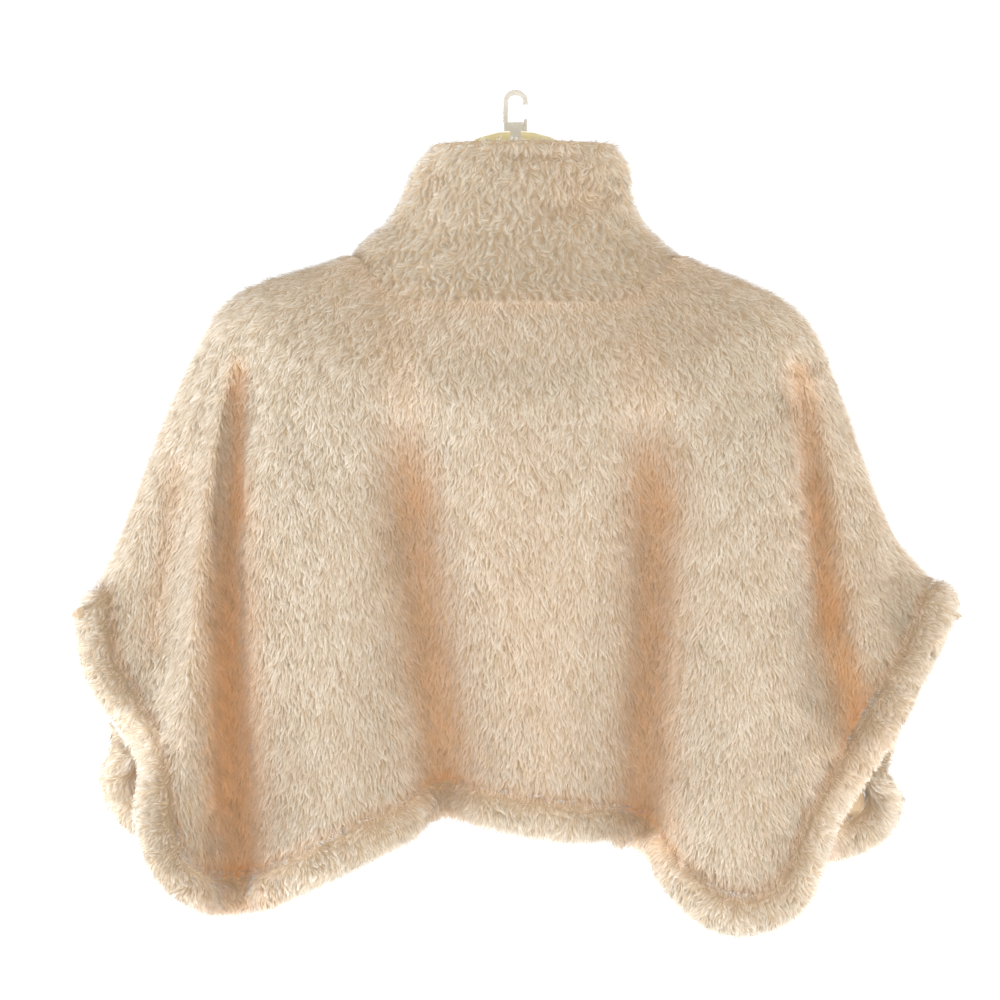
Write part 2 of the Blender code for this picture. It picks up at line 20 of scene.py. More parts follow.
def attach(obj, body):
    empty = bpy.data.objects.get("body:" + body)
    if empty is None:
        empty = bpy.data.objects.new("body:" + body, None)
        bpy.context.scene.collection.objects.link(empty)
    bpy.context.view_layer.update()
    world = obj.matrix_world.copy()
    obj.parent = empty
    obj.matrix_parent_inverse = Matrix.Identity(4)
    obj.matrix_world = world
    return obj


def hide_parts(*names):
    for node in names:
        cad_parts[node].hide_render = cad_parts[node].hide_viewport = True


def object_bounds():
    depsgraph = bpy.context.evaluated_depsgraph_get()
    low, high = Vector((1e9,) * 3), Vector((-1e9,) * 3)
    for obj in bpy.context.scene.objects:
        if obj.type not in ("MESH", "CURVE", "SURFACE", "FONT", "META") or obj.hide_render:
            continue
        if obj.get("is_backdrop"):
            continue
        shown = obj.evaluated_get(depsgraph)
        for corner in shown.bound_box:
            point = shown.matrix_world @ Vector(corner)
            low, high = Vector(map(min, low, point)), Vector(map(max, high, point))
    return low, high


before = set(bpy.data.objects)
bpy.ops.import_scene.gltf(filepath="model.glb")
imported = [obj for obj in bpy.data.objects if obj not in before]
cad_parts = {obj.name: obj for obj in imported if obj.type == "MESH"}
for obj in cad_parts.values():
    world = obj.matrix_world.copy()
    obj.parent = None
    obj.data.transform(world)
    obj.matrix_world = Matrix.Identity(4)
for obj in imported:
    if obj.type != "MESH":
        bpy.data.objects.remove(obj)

LOG = logging.getLogger("blanket_cape")
Array = np.ndarray
Triple = tuple[float, float, float]
Colour = tuple[float, float, float, float]
Faces = list[tuple[int, ...]]
Material = bpy.types.Material
MM = 0.001
BODY = "root"
DOWN = np.array([0.0, 0.0, -1.0])
MIRROR = np.array([1.0, -1.0, 1.0])


def unit(vectors: Array) -> Array:
    """Vectors of length one along the last axis."""
    return vectors / np.maximum(np.linalg.norm(vectors, axis=-1, keepdims=True), 1e-9)


def along(vectors: Array, normals: Array) -> Array:
    """Directions of the vectors within the surface that has the normals."""
    return unit(vectors - normals * np.sum(vectors * normals, axis=-1, keepdims=True))


def smoothstep(value: Array | float) -> Array:
    """Ease from 0 to 1 with level ends."""
    value = np.clip(value, 0.0, 1.0)
    return value * value * (3.0 - 2.0 * value)


def up_from(least: float, share: Array | float) -> Array | float:
    """Value that goes from the least to 1 with a share."""
    return least + (1.0 - least) * share


def from_ends(count: int) -> Array:
    """Steps from each place of a row to the nearer end of it."""
    return np.minimum(np.arange(count), count - 1 - np.arange(count))


def hermite(start: Array, start_slope: Array, end: Array, end_slope: Array, t: float) -> Array:
    """Point at the share t of the cubic between two points with the given slopes."""
    rise = t * t * (3.0 - 2.0 * t)
    leave = t * (1.0 - t) * (1.0 - t)
    arrive = t * t * (t - 1.0)
    return start * (1.0 - rise) + end * rise + start_slope * leave + end_slope * arrive


def smooth_curve(points: Array, steps: list[int]) -> Array:
    """Cubic curve through the inner points of a row.

    Args:
        points: The row. Its first and last points only set the slopes at the ends.
        steps: Number of steps between each inner point and the next.

    Returns:
        The points of the curve.
    """
    knots = np.concatenate([[0.0], np.cumsum(np.sqrt(np.linalg.norm(np.diff(points, axis=0), axis=1)))])
    gaps = np.diff(knots)
    chords = np.diff(points, axis=0) / gaps[:, None]
    before = gaps[:-1, None]
    after = gaps[1:, None]
    slopes = (chords[:-1] * after + chords[1:] * before) / (before + after)
    curve = []
    for i, count in enumerate(steps):
        span = gaps[i + 1]
        for k in range(count):
            start, end = points[i + 1], points[i + 2]
            curve.append(hermite(start, slopes[i] * span, end, slopes[i + 1] * span, k / count))
    curve.append(points[-2])
    return np.array(curve)


class Side(Enum):
    """Half of the cape, valued by its direction along Y."""

    BACK = -1.0
    FRONT = 1.0


@dataclass(frozen=True)
class Rib:
    """Line down one ridge, trough or fold of a panel, from the neck seam to the bound edge."""

    name: str
    turn: float
    x: float
    y: float
    z: float
    flare: float
    tuck: float


@dataclass(frozen=True)
class Crease:
    """Soft trough in the plush along a line, or a ridge where the depth is negative. Its shade is painted
    shade on the pile along the line; a crease of no depth only paints shade.
    """

    start: tuple[float, ...]
    end: tuple[float, ...]
    width: float
    depth: float
    shade: float = 0.0

    @classmethod
    def table(cls, *rows: tuple[float, ...]) -> tuple["Crease", ...]:
        """Creases from rows of X and Z of the start and the end, width, depth and, at times, shade."""
        return tuple(cls(row[:2], row[2:4], *row[4:]) for row in rows)

    def share_at(self, points: Array) -> Array:
        """Share of the crease felt at points, which fades out across its line and past its ends."""
        start = np.array(self.start)
        line = np.array(self.end) - start
        place = points[..., [0, 2]] - start
        share = np.clip(place @ line / (line @ line), 0.0, 1.0)
        away = np.linalg.norm(place - share[..., None] * line, axis=-1)
        return np.exp(-((away / self.width) ** 2))


def crease_depth(points: Array, creases: tuple[Crease, ...]) -> Array:
    """Depth of all the creases together under points, as one column."""
    depth = sum((crease.depth * crease.share_at(points) for crease in creases), np.zeros(points.shape[:-1]))
    return depth[..., None]


def crease_shade(points: Array, creases: tuple[Crease, ...]) -> Array:
    """Shade of the creases at points, which is that of the darkest one there."""
    shade = np.zeros(points.shape[:-1])
    for crease in creases:
        shade = np.maximum(shade, crease.shade * crease.share_at(points))
    return shade


def nearness(across: Array, width: float, least_step: float = 0.5) -> Array:
    """Weight that each point of a row has for each other one.

    Args:
        across: Place of each point along its row.
        width: Distance over which the weight fades out.
        least_step: What is added to the steps between points, by which they weigh.

    Returns:
        The weights, with a square of them for each row.
    """
    weights = np.exp(-(((across[:, :, None] - across[:, None]) / width) ** 2))
    return weights * (np.abs(np.gradient(across, axis=1))[:, None] + least_step)


def softened(grid: Array, across: Array, width: float) -> Array:
    """Mean along each row of a grid, in which near points weigh most, by their places across."""
    weights = nearness(across, width)
    return weights @ grid / weights.sum(axis=2, keepdims=True)


def ring_normals(points: Array) -> Array:
    """Normals of a grid whose last column joins its first."""
    across = np.roll(points, -1, axis=1) - np.roll(points, 1, axis=1)
    return unit(np.cross(across, np.gradient(points, axis=0)))


@dataclass
class Surface:
    """Grid over a piece, in rows by columns, or a single row of places on it.

    The facing is the way the cloth faces as a whole round there, the nap is the way the pile lies, hollow is
    0 on open faces and 1 deep in a fold and sets how much shade is painted on the pile, reach is the share of
    its full length that the pile has, and unrest is how far its locks turn from the nap.
    """

    points: Array
    normals: Array
    facing: Array
    nap: Array
    hollow: Array
    reach: Array
    unrest: Array

    # Steps of the R2 sequence, which fill a square evenly.
    EVEN_STEPS: ClassVar[tuple[float, float]] = (0.7548777, 0.5698403)

    def part(self, chosen: Array) -> "Surface":
        """The chosen rows or places alone."""
        return Surface(*(values[chosen] for values in vars(self).values()))

    def sunk(self, depth: Array | float) -> Array:
        """Points at a depth under the surface."""
        return self.points - depth * self.normals

    def closed(self) -> "Surface":
        """The surface with its first column once more at the end."""
        return Surface(*(np.concatenate([grid, grid[:, :1]], axis=1) for grid in vars(self).values()))

    def scatter(self, count: int, depth: Array | float, rng: np.random.Generator) -> "Surface":
        """Places spread evenly over the grid.

        Args:
            count: How many places, give or take a few.
            depth: How far under the surface they lie.
            rng: Source of chance.

        Returns:
            The places, with what the grid says of each.
        """
        shares = np.stack([self.hollow, self.reach, self.unrest], axis=2)
        grid = np.concatenate([self.sunk(depth), self.normals, self.facing, self.nap, shares], axis=2)
        corners = [grid[:-1, :-1], grid[:-1, 1:], grid[1:, :-1], grid[1:, 1:]]
        low, beside, under, far = (corner.reshape(-1, grid.shape[2]) for corner in corners)
        area = np.linalg.norm(np.cross(far[:, :3] - low[:, :3], beside[:, :3] - under[:, :3]), axis=1)
        each = (count * area / area.sum() + rng.random(len(area))).astype(int)
        cell = np.repeat(np.arange(len(area)), each)
        turn = np.arange(len(cell)) - np.repeat(np.cumsum(each) - each, each)
        place = (turn[:, None] * np.array(self.EVEN_STEPS) + rng.random((len(area), 2))[cell]) % 1.0
        u, v = place[:, :1], place[:, 1:]
        near = low[cell] * (1 - u) + beside[cell] * u
        rows = near * (1 - v) + (under[cell] * (1 - u) + far[cell] * u) * v
        normals = unit(rows[:, 3:6])
        return Surface(rows[:, :3], normals, rows[:, 6:9], along(rows[:, 9:12], normals), *rows[:, 12:].T)


@dataclass(frozen=True)
class CapeForm:
    """Cut of the cape and the way it hangs over the hanger, as in the solids.

    Turns are degrees round the neck from the left shoulder. The widths and painted shades at the end shape
    the hollows, whose depth sets the shade painted on the pile.
    """

    wall: float = 10.0
    seam_gap: float = 0.3
    neck_half_width: float = 151.0
    neck_half_depth: float = 72.0
    neck_side_z: float = -146.0
    neck_drop_height: float = 41.0
    neck_drop_start: float = 0.30
    neck_drop_span: float = 0.55
    shoulder_half_width: float = 264.0
    shoulder_half_depth: float = 82.0
    shoulder_side_z: float = -201.0
    shoulder_drop: float = 84.0
    shoulder_shift: float = -3.0
    shoulder_tilt: float = 4.0
    shoulder_fullness: float = 0.8
    shoulder_roll: float = 20.0
    edge_roll: float = 27.0
    roll_turns: tuple[float, float] = (5.0, 10.0)
    roll_angles: tuple[float, float] = (32.0, 64.0)
    yoke_rows: int = 7
    skirt_rows: int = 30
    fold_steps: int = 5
    roll_steps: int = 3
    fold_width: float = 40.0
    fold_depth: float = 9.0
    least_weight: float = 1.0
    hollow_gain: float = 1.15
    hollow_blur: float = 1.8
    facing_blur: float = 0.75
    # Shares of painted shade added along the neck seam, along the hem and, fading in, down the skirt.
    neck_painted_shade: float = 0.15
    hem_painted_shade: float = 0.3
    skirt_fade: float = 0.5
    skirt_painted_shade: float = 0.06
    skirt_calm: float = 0.4

    # Brings the peak of t (1 - t)^2 to 1.
    TUCK_SCALE: ClassVar[float] = 6.75

    def neck_drop(self, turn: Array | float) -> Array:
        """Share of the drop from the side of the neck to its middle."""
        return smoothstep((np.sin(np.radians(turn)) - self.neck_drop_start) / self.neck_drop_span)

    def neck_point(self, turn: float, side: Side) -> Array:
        """Point of the neck seam at a turn, on the outside of the plush."""
        angle = math.radians(turn)
        return np.array([
            -self.neck_half_width * math.cos(angle),
            side.value * self.neck_half_depth * math.sin(angle),
            self.neck_side_z - self.neck_drop_height * self.neck_drop(turn),
        ])

    def shoulder_point(self, turn: float, side: Side) -> Array:
        """Point at a turn of the ring where the cloth breaks over the hanger, on the outside of the plush."""
        angle = math.radians(turn)
        rise = self.shoulder_tilt * math.cos(angle) - self.shoulder_drop * math.sin(angle)
        return np.array([
            self.shoulder_shift - self.shoulder_half_width * math.cos(angle),
            side.value * self.shoulder_half_depth * abs(math.sin(angle)) ** self.shoulder_fullness,
            self.shoulder_side_z + rise,
        ])

    def rib_frame(self, rib: Rib, side: Side) -> tuple[Array, ...]:
        """Neck, shoulder and edge points of a rib, its direction at the edge, and how the cloth draws in."""
        shoulder = self.shoulder_point(rib.turn, side)
        edge = np.array([rib.x, rib.y, rib.z])
        heading = unit(unit(edge - shoulder) + np.array([rib.flare, 0.0, 0.0]))
        tuck = np.array([0.0, -side.value * rib.tuck, 0.0])
        return self.neck_point(rib.turn, side), shoulder, edge, heading, tuck

    def roll_frames(self, crest: Rib, side: Side) -> list[tuple[Array, ...]]:
        """Frames that carry the cloth round the fold over the hanger.

        Args:
            crest: Rib on the crest of the fold.
            side: Half of the cape.

        Returns:
            The frames from the crest to the face.
        """
        neck, shoulder, edge, heading, tuck = self.rib_frame(crest, side)
        frames = []
        for turn, angle in zip(self.roll_turns, self.roll_angles):
            bend = math.radians(angle)
            ends = []
            for point, way, radius in (
                (shoulder, unit(edge - neck), self.shoulder_roll),
                (edge, heading, self.edge_roll),
            ):
                inward = np.array([-way[2], 0.0, way[0]])
                inward *= -np.sign(inward[2])
                aside = np.array([0.0, side.value * math.sin(bend), 0.0])
                ends.append(point + radius * (inward * (1.0 - math.cos(bend)) + aside))
            frames.append((self.neck_point(abs(crest.turn - turn), side), *ends, heading, tuck))
        return frames

    def rib_line(self, rib_frame: tuple[Array, ...]) -> list[Array]:
        """Points down one rib: over the yoke to the shoulder ring, then down to the edge."""
        neck, shoulder, edge, heading, tuck = rib_frame
        over = unit(edge - neck)
        yoke = np.linalg.norm(shoulder - neck)
        drop = np.linalg.norm(edge - shoulder)
        line = [
            hermite(neck, shoulder - neck, shoulder, over * yoke, row / self.yoke_rows)
            for row in range(self.yoke_rows)
        ]
        for t in np.linspace(0.0, 1.0, self.skirt_rows + 1):
            drawn_in = self.TUCK_SCALE * t * (1.0 - t) * (1.0 - t)
            line.append(hermite(shoulder, over * drop, edge, heading * drop, t) + tuck * drawn_in)
        return line

    def panel_normals(self, points: Array, side: Side) -> Array:
        """Normals of a panel, which goes on as its own mirror image past both shoulders."""
        wide = np.concatenate([points[:, 1:2] * MIRROR, points, points[:, -2:-1] * MIRROR], axis=1)
        across = np.gradient(wide, axis=1)[:, 1:-1]
        return side.value * unit(np.cross(across, np.gradient(points, axis=0)))

    def panel(self, ribs: tuple[Rib, ...], side: Side, creases: tuple[Crease, ...]) -> Surface:
        """Outside of one panel.

        Args:
            ribs: Its ribs from left to right.
            side: Half of the cape.
            creases: What is pressed into it.

        Returns:
            The surface, in rows from the neck to the edge by columns from left to right.
        """
        frames = [self.rib_frame(rib, side) for rib in ribs]
        frames[1:1] = self.roll_frames(ribs[0], side)
        frames[-1:-1] = reversed(self.roll_frames(ribs[-1], side))
        lines = np.array([self.rib_line(rib_frame) for rib_frame in frames])
        rolls = [self.roll_steps] * len(self.roll_turns)
        steps = rolls + [self.fold_steps] * (len(frames) - 1 - 2 * len(rolls)) + rolls
        points = np.array([
            smooth_curve(np.vstack([row[1] * MIRROR, row, row[-2] * MIRROR]), steps)
            for row in lines.transpose(1, 0, 2)
        ])
        points[:, [0, -1], 1] = side.value * self.seam_gap / 2
        pressed = crease_depth(points, creases)
        points -= pressed * self.panel_normals(points, side)
        normals = self.panel_normals(points, side)
        nap = along(unit(np.gradient(points, axis=0)) + DOWN, normals)
        fade = self.skirt_fade * self.skirt_rows
        down = smoothstep((np.arange(len(points)) - self.yoke_rows) / fade)[:, None]
        # Painted shade: deep in the folds, in the shaded creases, a little down the skirt, and along the neck
        # seam and the hem.
        hollow = self.hollows(points, side) + crease_shade(points, creases) + self.skirt_painted_shade * down
        hollow[0] += self.neck_painted_shade
        hollow[-1] += self.hem_painted_shade
        hollow = np.clip(hollow, 0.0, 1.0)
        even = np.ones(hollow.shape)
        facing = unit(softened(normals, points[..., 0], self.facing_blur * self.fold_width))
        return Surface(points, normals, facing, nap, hollow, even, even - self.skirt_calm * down)

    def hollows(self, points: Array, side: Side) -> Array:
        """How deep each point of a panel lies between what stands out to its left and right, from 0."""
        across = points[..., 0]
        out = side.value * points[..., 1:2]
        weights = nearness(across, self.fold_width)
        ahead = across[:, None] > across[:, :, None]
        rises = [
            near @ out / (near.sum(axis=2, keepdims=True) + self.least_weight) - out
            for near in (weights * ahead, weights * ~ahead)
        ]
        depth = np.clip(np.minimum(*rises) / self.fold_depth, 0.0, 1.0)
        return self.hollow_gain * softened(depth, across, self.fold_width / self.hollow_blur)[..., 0]

    def rib_column(self, ribs: tuple[Rib, ...], name: str) -> int:
        """Column of a panel on which the named rib lies."""
        place = [rib.name for rib in ribs].index(name)
        return self.roll_steps * len(self.roll_turns) + self.fold_steps * place


# Each row has the name, turn, X, Y and Z at the edge, flare and tuck of a rib.
BACK_RIBS = tuple(Rib(*row) for row in (
    ("left_fold", 0, -377, 0, -438, -0.05, 0),
    ("left_flap", 15, -353, -32, -504, -0.12, 0),
    ("ridge_1_outside", 17.5, -326, -40, -550, -0.12, 0),
    ("ridge_1", 20, -305, -73, -600, -0.06, -2),
    ("left_corner", 22, -288, -78, -673, 0, -5),
    ("ridge_1_inside", 23.4, -270, -62, -690, 0, -4),
    ("trough_1_left", 25.4, -257, -33, -697, 0, 6),
    ("trough_1_right", 28.4, -238, -33, -694, 0, 6),
    ("ridge_2_outside", 32.5, -225, -60, -688, 0, -3),
    ("ridge_2", 45, -163, -84, -657, 0, -2),
    ("ridge_2_inside", 61, -101, -64, -630, 0, -2),
    ("trough_2", 70, -67, -26, -612, 0, 18),
    ("ridge_3_left", 80, -28, -50, -619, 0, -1),
    ("ridge_3", 95, 34, -66, -628, 0, 0),
    ("ridge_3_right", 108, 87, -50, -634, 0, -1),
    ("trough_3", 117, 116, -24, -644, 0, 18),
    ("ridge_4_inside", 126, 141, -56, -676, 0, -2),
    ("ridge_4", 141, 187, -86, -708, 0, -2),
    ("right_corner", 149, 227, -76, -701, 0, -3),
    ("ridge_4_outside", 154.5, 254, -60, -648, 0.10, -4),
    ("trough_4", 158.5, 291, -32, -585, 0.15, 5),
    ("ridge_5", 162, 322, -44, -526, 0.20, 2),
    ("right_flap", 165, 347, -32, -484, 0.40, 0),
    ("right_fold", 180, 374, 0, -432, 0.55, 0),
))

FRONT_RIBS = tuple(Rib(*row) for row in (
    ("left_fold", 0, -377, 0, -438, -0.05, 0),
    ("left_flap", 15, -346, 34, -508, -0.18, 0),
    ("left_side", 18.5, -338, 54, -572, -0.18, 0),
    ("left_corner", 22, -344, 62, -626, -0.20, -3),
    ("left_hem", 25.5, -320, 54, -646, -0.10, -3),
    ("trough_1", 31, -264, 28, -645, 0, 12),
    ("ridge_1_left", 40, -213, 70, -641, 0, -2),
    ("ridge_1_right", 55, -146, 74, -630, 0, -2),
    ("trough_2", 72, -77, 26, -608, 0, 14),
    ("ridge_2_left", 83, -25, 64, -617, 0, -2),
    ("ridge_2_right", 99, 36, 66, -620, 0, -2),
    ("trough_3", 112, 95, 26, -612, 0, 14),
    ("ridge_3_left", 124, 152, 74, -631, 0, -2),
    ("ridge_3_right", 139, 214, 72, -648, 0, -2),
    ("trough_4", 149, 256, 28, -656, 0, 12),
    ("right_hem", 155, 293, 54, -656, 0.10, -3),
    ("right_corner", 158.5, 319, 62, -643, 0.20, -3),
    ("right_side", 161.5, 312, 52, -584, 0.20, 0),
    ("right_flap", 165, 340, 34, -500, 0.40, 0),
    ("right_fold", 180, 374, 0, -432, 0.55, 0),
))

BACK_BAND_JOIN = "ridge_3_right"
FRONT_BAND_JOIN = "ridge_2_left"


class Value:
    """Output of a node that takes part in Python arithmetic."""

    def __init__(self, sheet: "NodeSheet", socket: bpy.types.NodeSocket) -> None:
        """Wrap a socket of the sheet."""
        self.sheet = sheet
        self.socket = socket

    def maths(self, operation: str, first: "Value | float", second: "Value | float") -> "Value":
        """Result of a Math node with Blender's name for the operation, on two values."""
        return self.sheet.result("ShaderNodeMath", {"operation": operation}, {0: first, 1: second})

    def __add__(self, other: "Value | float") -> "Value":
        """Sum."""
        return self.maths("ADD", self, other)

    __radd__ = __add__

    def __rsub__(self, other: float) -> "Value":
        """Difference from a number."""
        return self.maths("SUBTRACT", other, self)

    def __mul__(self, other: "Value | float") -> "Value":
        """Product."""
        return self.maths("MULTIPLY", self, other)

    __rmul__ = __mul__


class NodeSheet:
    """Node tree of one material or world."""

    def __init__(self, owner: Material | bpy.types.World) -> None:
        """Start the tree of its owner."""
        owner.use_nodes = True
        self.owner = owner
        self.nodes = owner.node_tree.nodes
        self.links = owner.node_tree.links

    def put(self, socket: bpy.types.NodeSocket, given: Any) -> None:
        """Link a value to a socket, or set the socket to a plain number, colour or vector."""
        if isinstance(given, Value):
            self.links.new(given.socket, socket)
        else:
            socket.default_value = given

    def feed(self, fed: bpy.types.Node, inputs: dict[Any, Any]) -> bpy.types.Node:
        """Put values into the sockets of a node, by name or number, and give the node."""
        for name, given in inputs.items():
            self.put(fed.inputs[name], given)
        return fed

    def node(self, kind: str, settings: dict[str, Any], inputs: dict[Any, Any]) -> bpy.types.Node:
        """Add a node.

        Args:
            kind: Blender's type name.
            settings: Attributes, which are set first.
            inputs: Values for its sockets, by name or number.

        Returns:
            The node.
        """
        made = self.nodes.new(kind)
        for name, given in settings.items():
            setattr(made, name, given)
        return self.feed(made, inputs)

    def result(self, kind: str, settings: dict[str, Any], inputs: dict[Any, Any], output: Any = 0) -> Value:
        """Add a node and give one of its outputs."""
        return Value(self, self.node(kind, settings, inputs).outputs[output])

    def mix(self, factor: Value, first: Any, second: Any) -> Value:
        """Mix of two colours."""
        return self.result("ShaderNodeMix", {"data_type": "RGBA"}, {0: factor, 6: first, 7: second}, 2)

    def noise(self, scale: float, detail: float, stretch: Triple = (1.0, 1.0, 1.0)) -> Value:
        """Noise over the object's own coordinates.

        Args:
            scale: Features per metre.
            detail: Number of finer layers.
            stretch: Factors on the coordinates.

        Returns:
            The noise, about 0.5.
        """
        place = self.result("ShaderNodeTexCoord", {}, {}, "Object")
        turned = self.result("ShaderNodeMapping", {}, {"Vector": place, "Scale": stretch})
        return self.result("ShaderNodeTexNoise", {}, {"Vector": turned, "Scale": scale, "Detail": detail})

    def dress(self, **inputs: Any) -> Material:
        """Feed the Principled shader, with underscores for the blanks in its sockets' names."""
        named = {name.replace("_", " "): given for name, given in inputs.items()}
        self.feed(self.nodes["Principled BSDF"], named)
        return self.owner

    def blend(self, share: Value, first: Value, second: Value, output: str) -> None:
        """Show a mix of two shaders at the named output node."""
        both = self.result("ShaderNodeMixShader", {}, {0: share, 1: first, 2: second})
        self.feed(self.nodes[output], {"Surface": both})

    def let_through(self, colour: Colour, share: Value) -> None:
        """Let a share of the light through the Principled shader, in one colour."""
        through = self.result("ShaderNodeBsdfTranslucent", {}, {"Color": colour})
        front = Value(self, self.nodes["Principled BSDF"].outputs[0])
        self.blend(share, front, through, "Material Output")

    def bump(self, height: Value, strength: float, distance: float) -> Value:
        """Normal that is bumped by a height."""
        inputs = {"Height": height, "Strength": strength, "Distance": distance}
        return self.result("ShaderNodeBump", {}, inputs)


@dataclass(frozen=True)
class PileFinish:
    """Plush pile: paler at the tips. Painted shade makes it darker and warmer at the roots, where the strands
    shade each other, and deep in the folds, where it also lets less light through.
    """

    # Root is painted shade between the strands; deep is the painted shade of the folds, mixed in by
    # painted_shade times the hollow share.
    root: Colour = (0.34, 0.25, 0.16, 1.0)
    dusky: Colour = (0.56, 0.48, 0.37, 1.0)
    pale: Colour = (0.92, 0.90, 0.85, 1.0)
    deep: Colour = (0.79, 0.42, 0.18, 1.0)
    glow: Colour = (0.92, 0.90, 0.86, 1.0)
    painted_shade: float = 0.9
    roughness: float = 0.8
    sheen: float = 1.0
    through: float = 0.45
    shut: float = 0.9

    def material(self) -> Material:
        """The material, which reads the strands' own attribute."""
        sheet = NodeSheet(bpy.data.materials.new("plush_pile"))
        marks = sheet.result("ShaderNodeAttribute", {"attribute_name": Pile.ATTRIBUTE}, {}, "Color")
        split = sheet.node("ShaderNodeSeparateColor", {}, {"Color": marks})
        up, tint, hollow = (Value(sheet, split.outputs[k]) for k in range(3))
        colour = sheet.mix(tint, self.dusky, self.pale)
        # Painted shade: darker towards the roots, where the strands shade each other.
        colour = sheet.mix(up, self.root, colour)
        # Painted shade deep in the folds, by the hollow share.
        colour = sheet.mix(hollow * self.painted_shade, colour, self.deep)
        sheet.let_through(self.glow, self.through - self.shut * self.through * hollow)
        return sheet.dress(
            Base_Color=colour, Roughness=self.roughness, Sheen_Weight=self.sheen, Sheen_Roughness=0.35,
            Sheen_Tint=(1.0, 1.0, 1.0, 1.0), Specular_IOR_Level=0.15,
        )


@dataclass(frozen=True)
class GroundFinish:
    """Knitted backing of the plush, with the short fuzz that shows between the locks. Its colours are dark as
    painted shade, the shade that falls between the locks.
    """

    deep: Colour = (0.46, 0.34, 0.22, 1.0)
    pale: Colour = (0.56, 0.44, 0.31, 1.0)
    fuzz_share: float = 0.7
    row_share: float = 0.3

    def material(self) -> Material:
        """The material."""
        sheet = NodeSheet(bpy.data.materials.new("plush_ground"))
        fuzz = sheet.noise(scale=420.0, detail=3.0, stretch=(1.0, 1.0, 0.35))
        rows = sheet.noise(scale=160.0, detail=1.0, stretch=(1.0, 1.0, 3.0))
        height = fuzz * self.fuzz_share + rows * self.row_share
        return sheet.dress(
            Base_Color=sheet.mix(height, self.deep, self.pale), Roughness=0.95, Sheen_Weight=0.2,
            Specular_IOR_Level=0.1, Normal=sheet.bump(height, strength=0.6, distance=0.0015),
        )


@dataclass(frozen=True)
class WoodFinish:
    """Pale satin wood of the hanger, with its grain along the bar."""

    early: Colour = (0.88, 0.79, 0.47, 1.0)
    late: Colour = (0.80, 0.70, 0.39, 1.0)
    line_share: float = 0.7
    pore_share: float = 0.3
    pore_height: float = 0.5
    roughness: float = 0.38
    pore_roughness: float = 0.2

    def material(self) -> Material:
        """The material."""
        sheet = NodeSheet(bpy.data.materials.new("hanger_wood"))
        grain = sheet.noise(scale=90.0, detail=4.0, stretch=(0.12, 1.0, 1.0))
        pores = sheet.noise(scale=900.0, detail=2.0, stretch=(0.05, 1.0, 1.0))
        lines = sheet.result("ShaderNodeMapRange", {}, {"Value": grain, "From Min": 0.35, "From Max": 0.7})
        aged = lines * self.line_share + pores * self.pore_share
        height = lines + pores * self.pore_height
        return sheet.dress(
            Base_Color=sheet.mix(aged, self.early, self.late),
            Roughness=self.roughness + self.pore_roughness * pores, Coat_Weight=0.2, Coat_Roughness=0.3,
            Normal=sheet.bump(height, strength=0.15, distance=0.0004),
        )


@dataclass(frozen=True)
class PlasticFinish:
    """Milky clear moulding of the hook."""

    colour: Colour = (0.78, 0.76, 0.71, 1.0)
    haze: Colour = (0.70, 0.68, 0.63, 1.0)
    roughness: float = 0.18
    flow_roughness: float = 0.2

    def material(self) -> Material:
        """The material."""
        sheet = NodeSheet(bpy.data.materials.new("hook_plastic"))
        flow = sheet.noise(scale=120.0, detail=2.0, stretch=(1.0, 1.0, 0.4))
        return sheet.dress(
            Base_Color=sheet.mix(flow, self.colour, self.haze),
            Roughness=self.roughness + self.flow_roughness * flow, Transmission_Weight=0.15, IOR=1.49,
            Normal=sheet.bump(flow, strength=0.1, distance=0.0005),
        )


@dataclass(frozen=True)
class FloorFinish:
    """Matt white floor."""

    light: Colour = (0.93, 0.93, 0.92, 1.0)
    dark: Colour = (0.88, 0.88, 0.87, 1.0)
    roughness: float = 0.7
    grain_roughness: float = 0.2

    def material(self) -> Material:
        """The material."""
        sheet = NodeSheet(bpy.data.materials.new("floor"))
        grain = sheet.noise(scale=6.0, detail=3.0)
        roughness = self.roughness + self.grain_roughness * grain
        return sheet.dress(Base_Color=sheet.mix(grain, self.light, self.dark), Roughness=roughness)


@dataclass(frozen=True)
class Plush:
    """Materials of the plush: its backing, and the pile on it."""

    ground: Material
    pile: Material


@dataclass(frozen=True)
class Swirl:
    """Smooth chance over space, summed from a few waves of about one length."""

    waves: Array
    phases: Array

    COUNT: ClassVar[int] = 12
    SPREAD: ClassVar[tuple[float, float]] = (0.6, 1.6)

    @classmethod
    def over(cls, wavelength: float, rng: np.random.Generator) -> "Swirl":
        """Field whose features are about a wavelength wide."""
        ways = unit(rng.normal(size=(cls.COUNT, 3))) * rng.uniform(*cls.SPREAD, (cls.COUNT, 1))
        return cls(ways * 2.0 * math.pi / wavelength, rng.uniform(0.0, 2.0 * math.pi, cls.COUNT))

    def at(self, points: Array) -> Array:
        """The field at points, mostly from -1 to 1."""
        return np.sin(points @ self.waves.T + self.phases).sum(axis=1) / math.sqrt(len(self.phases))


def put_in_scene(name: str, data: bpy.types.ID) -> bpy.types.Object:
    """New object with the data, linked to the scene."""
    made = bpy.data.objects.new(name, data)
    bpy.context.scene.collection.objects.link(made)
    return made


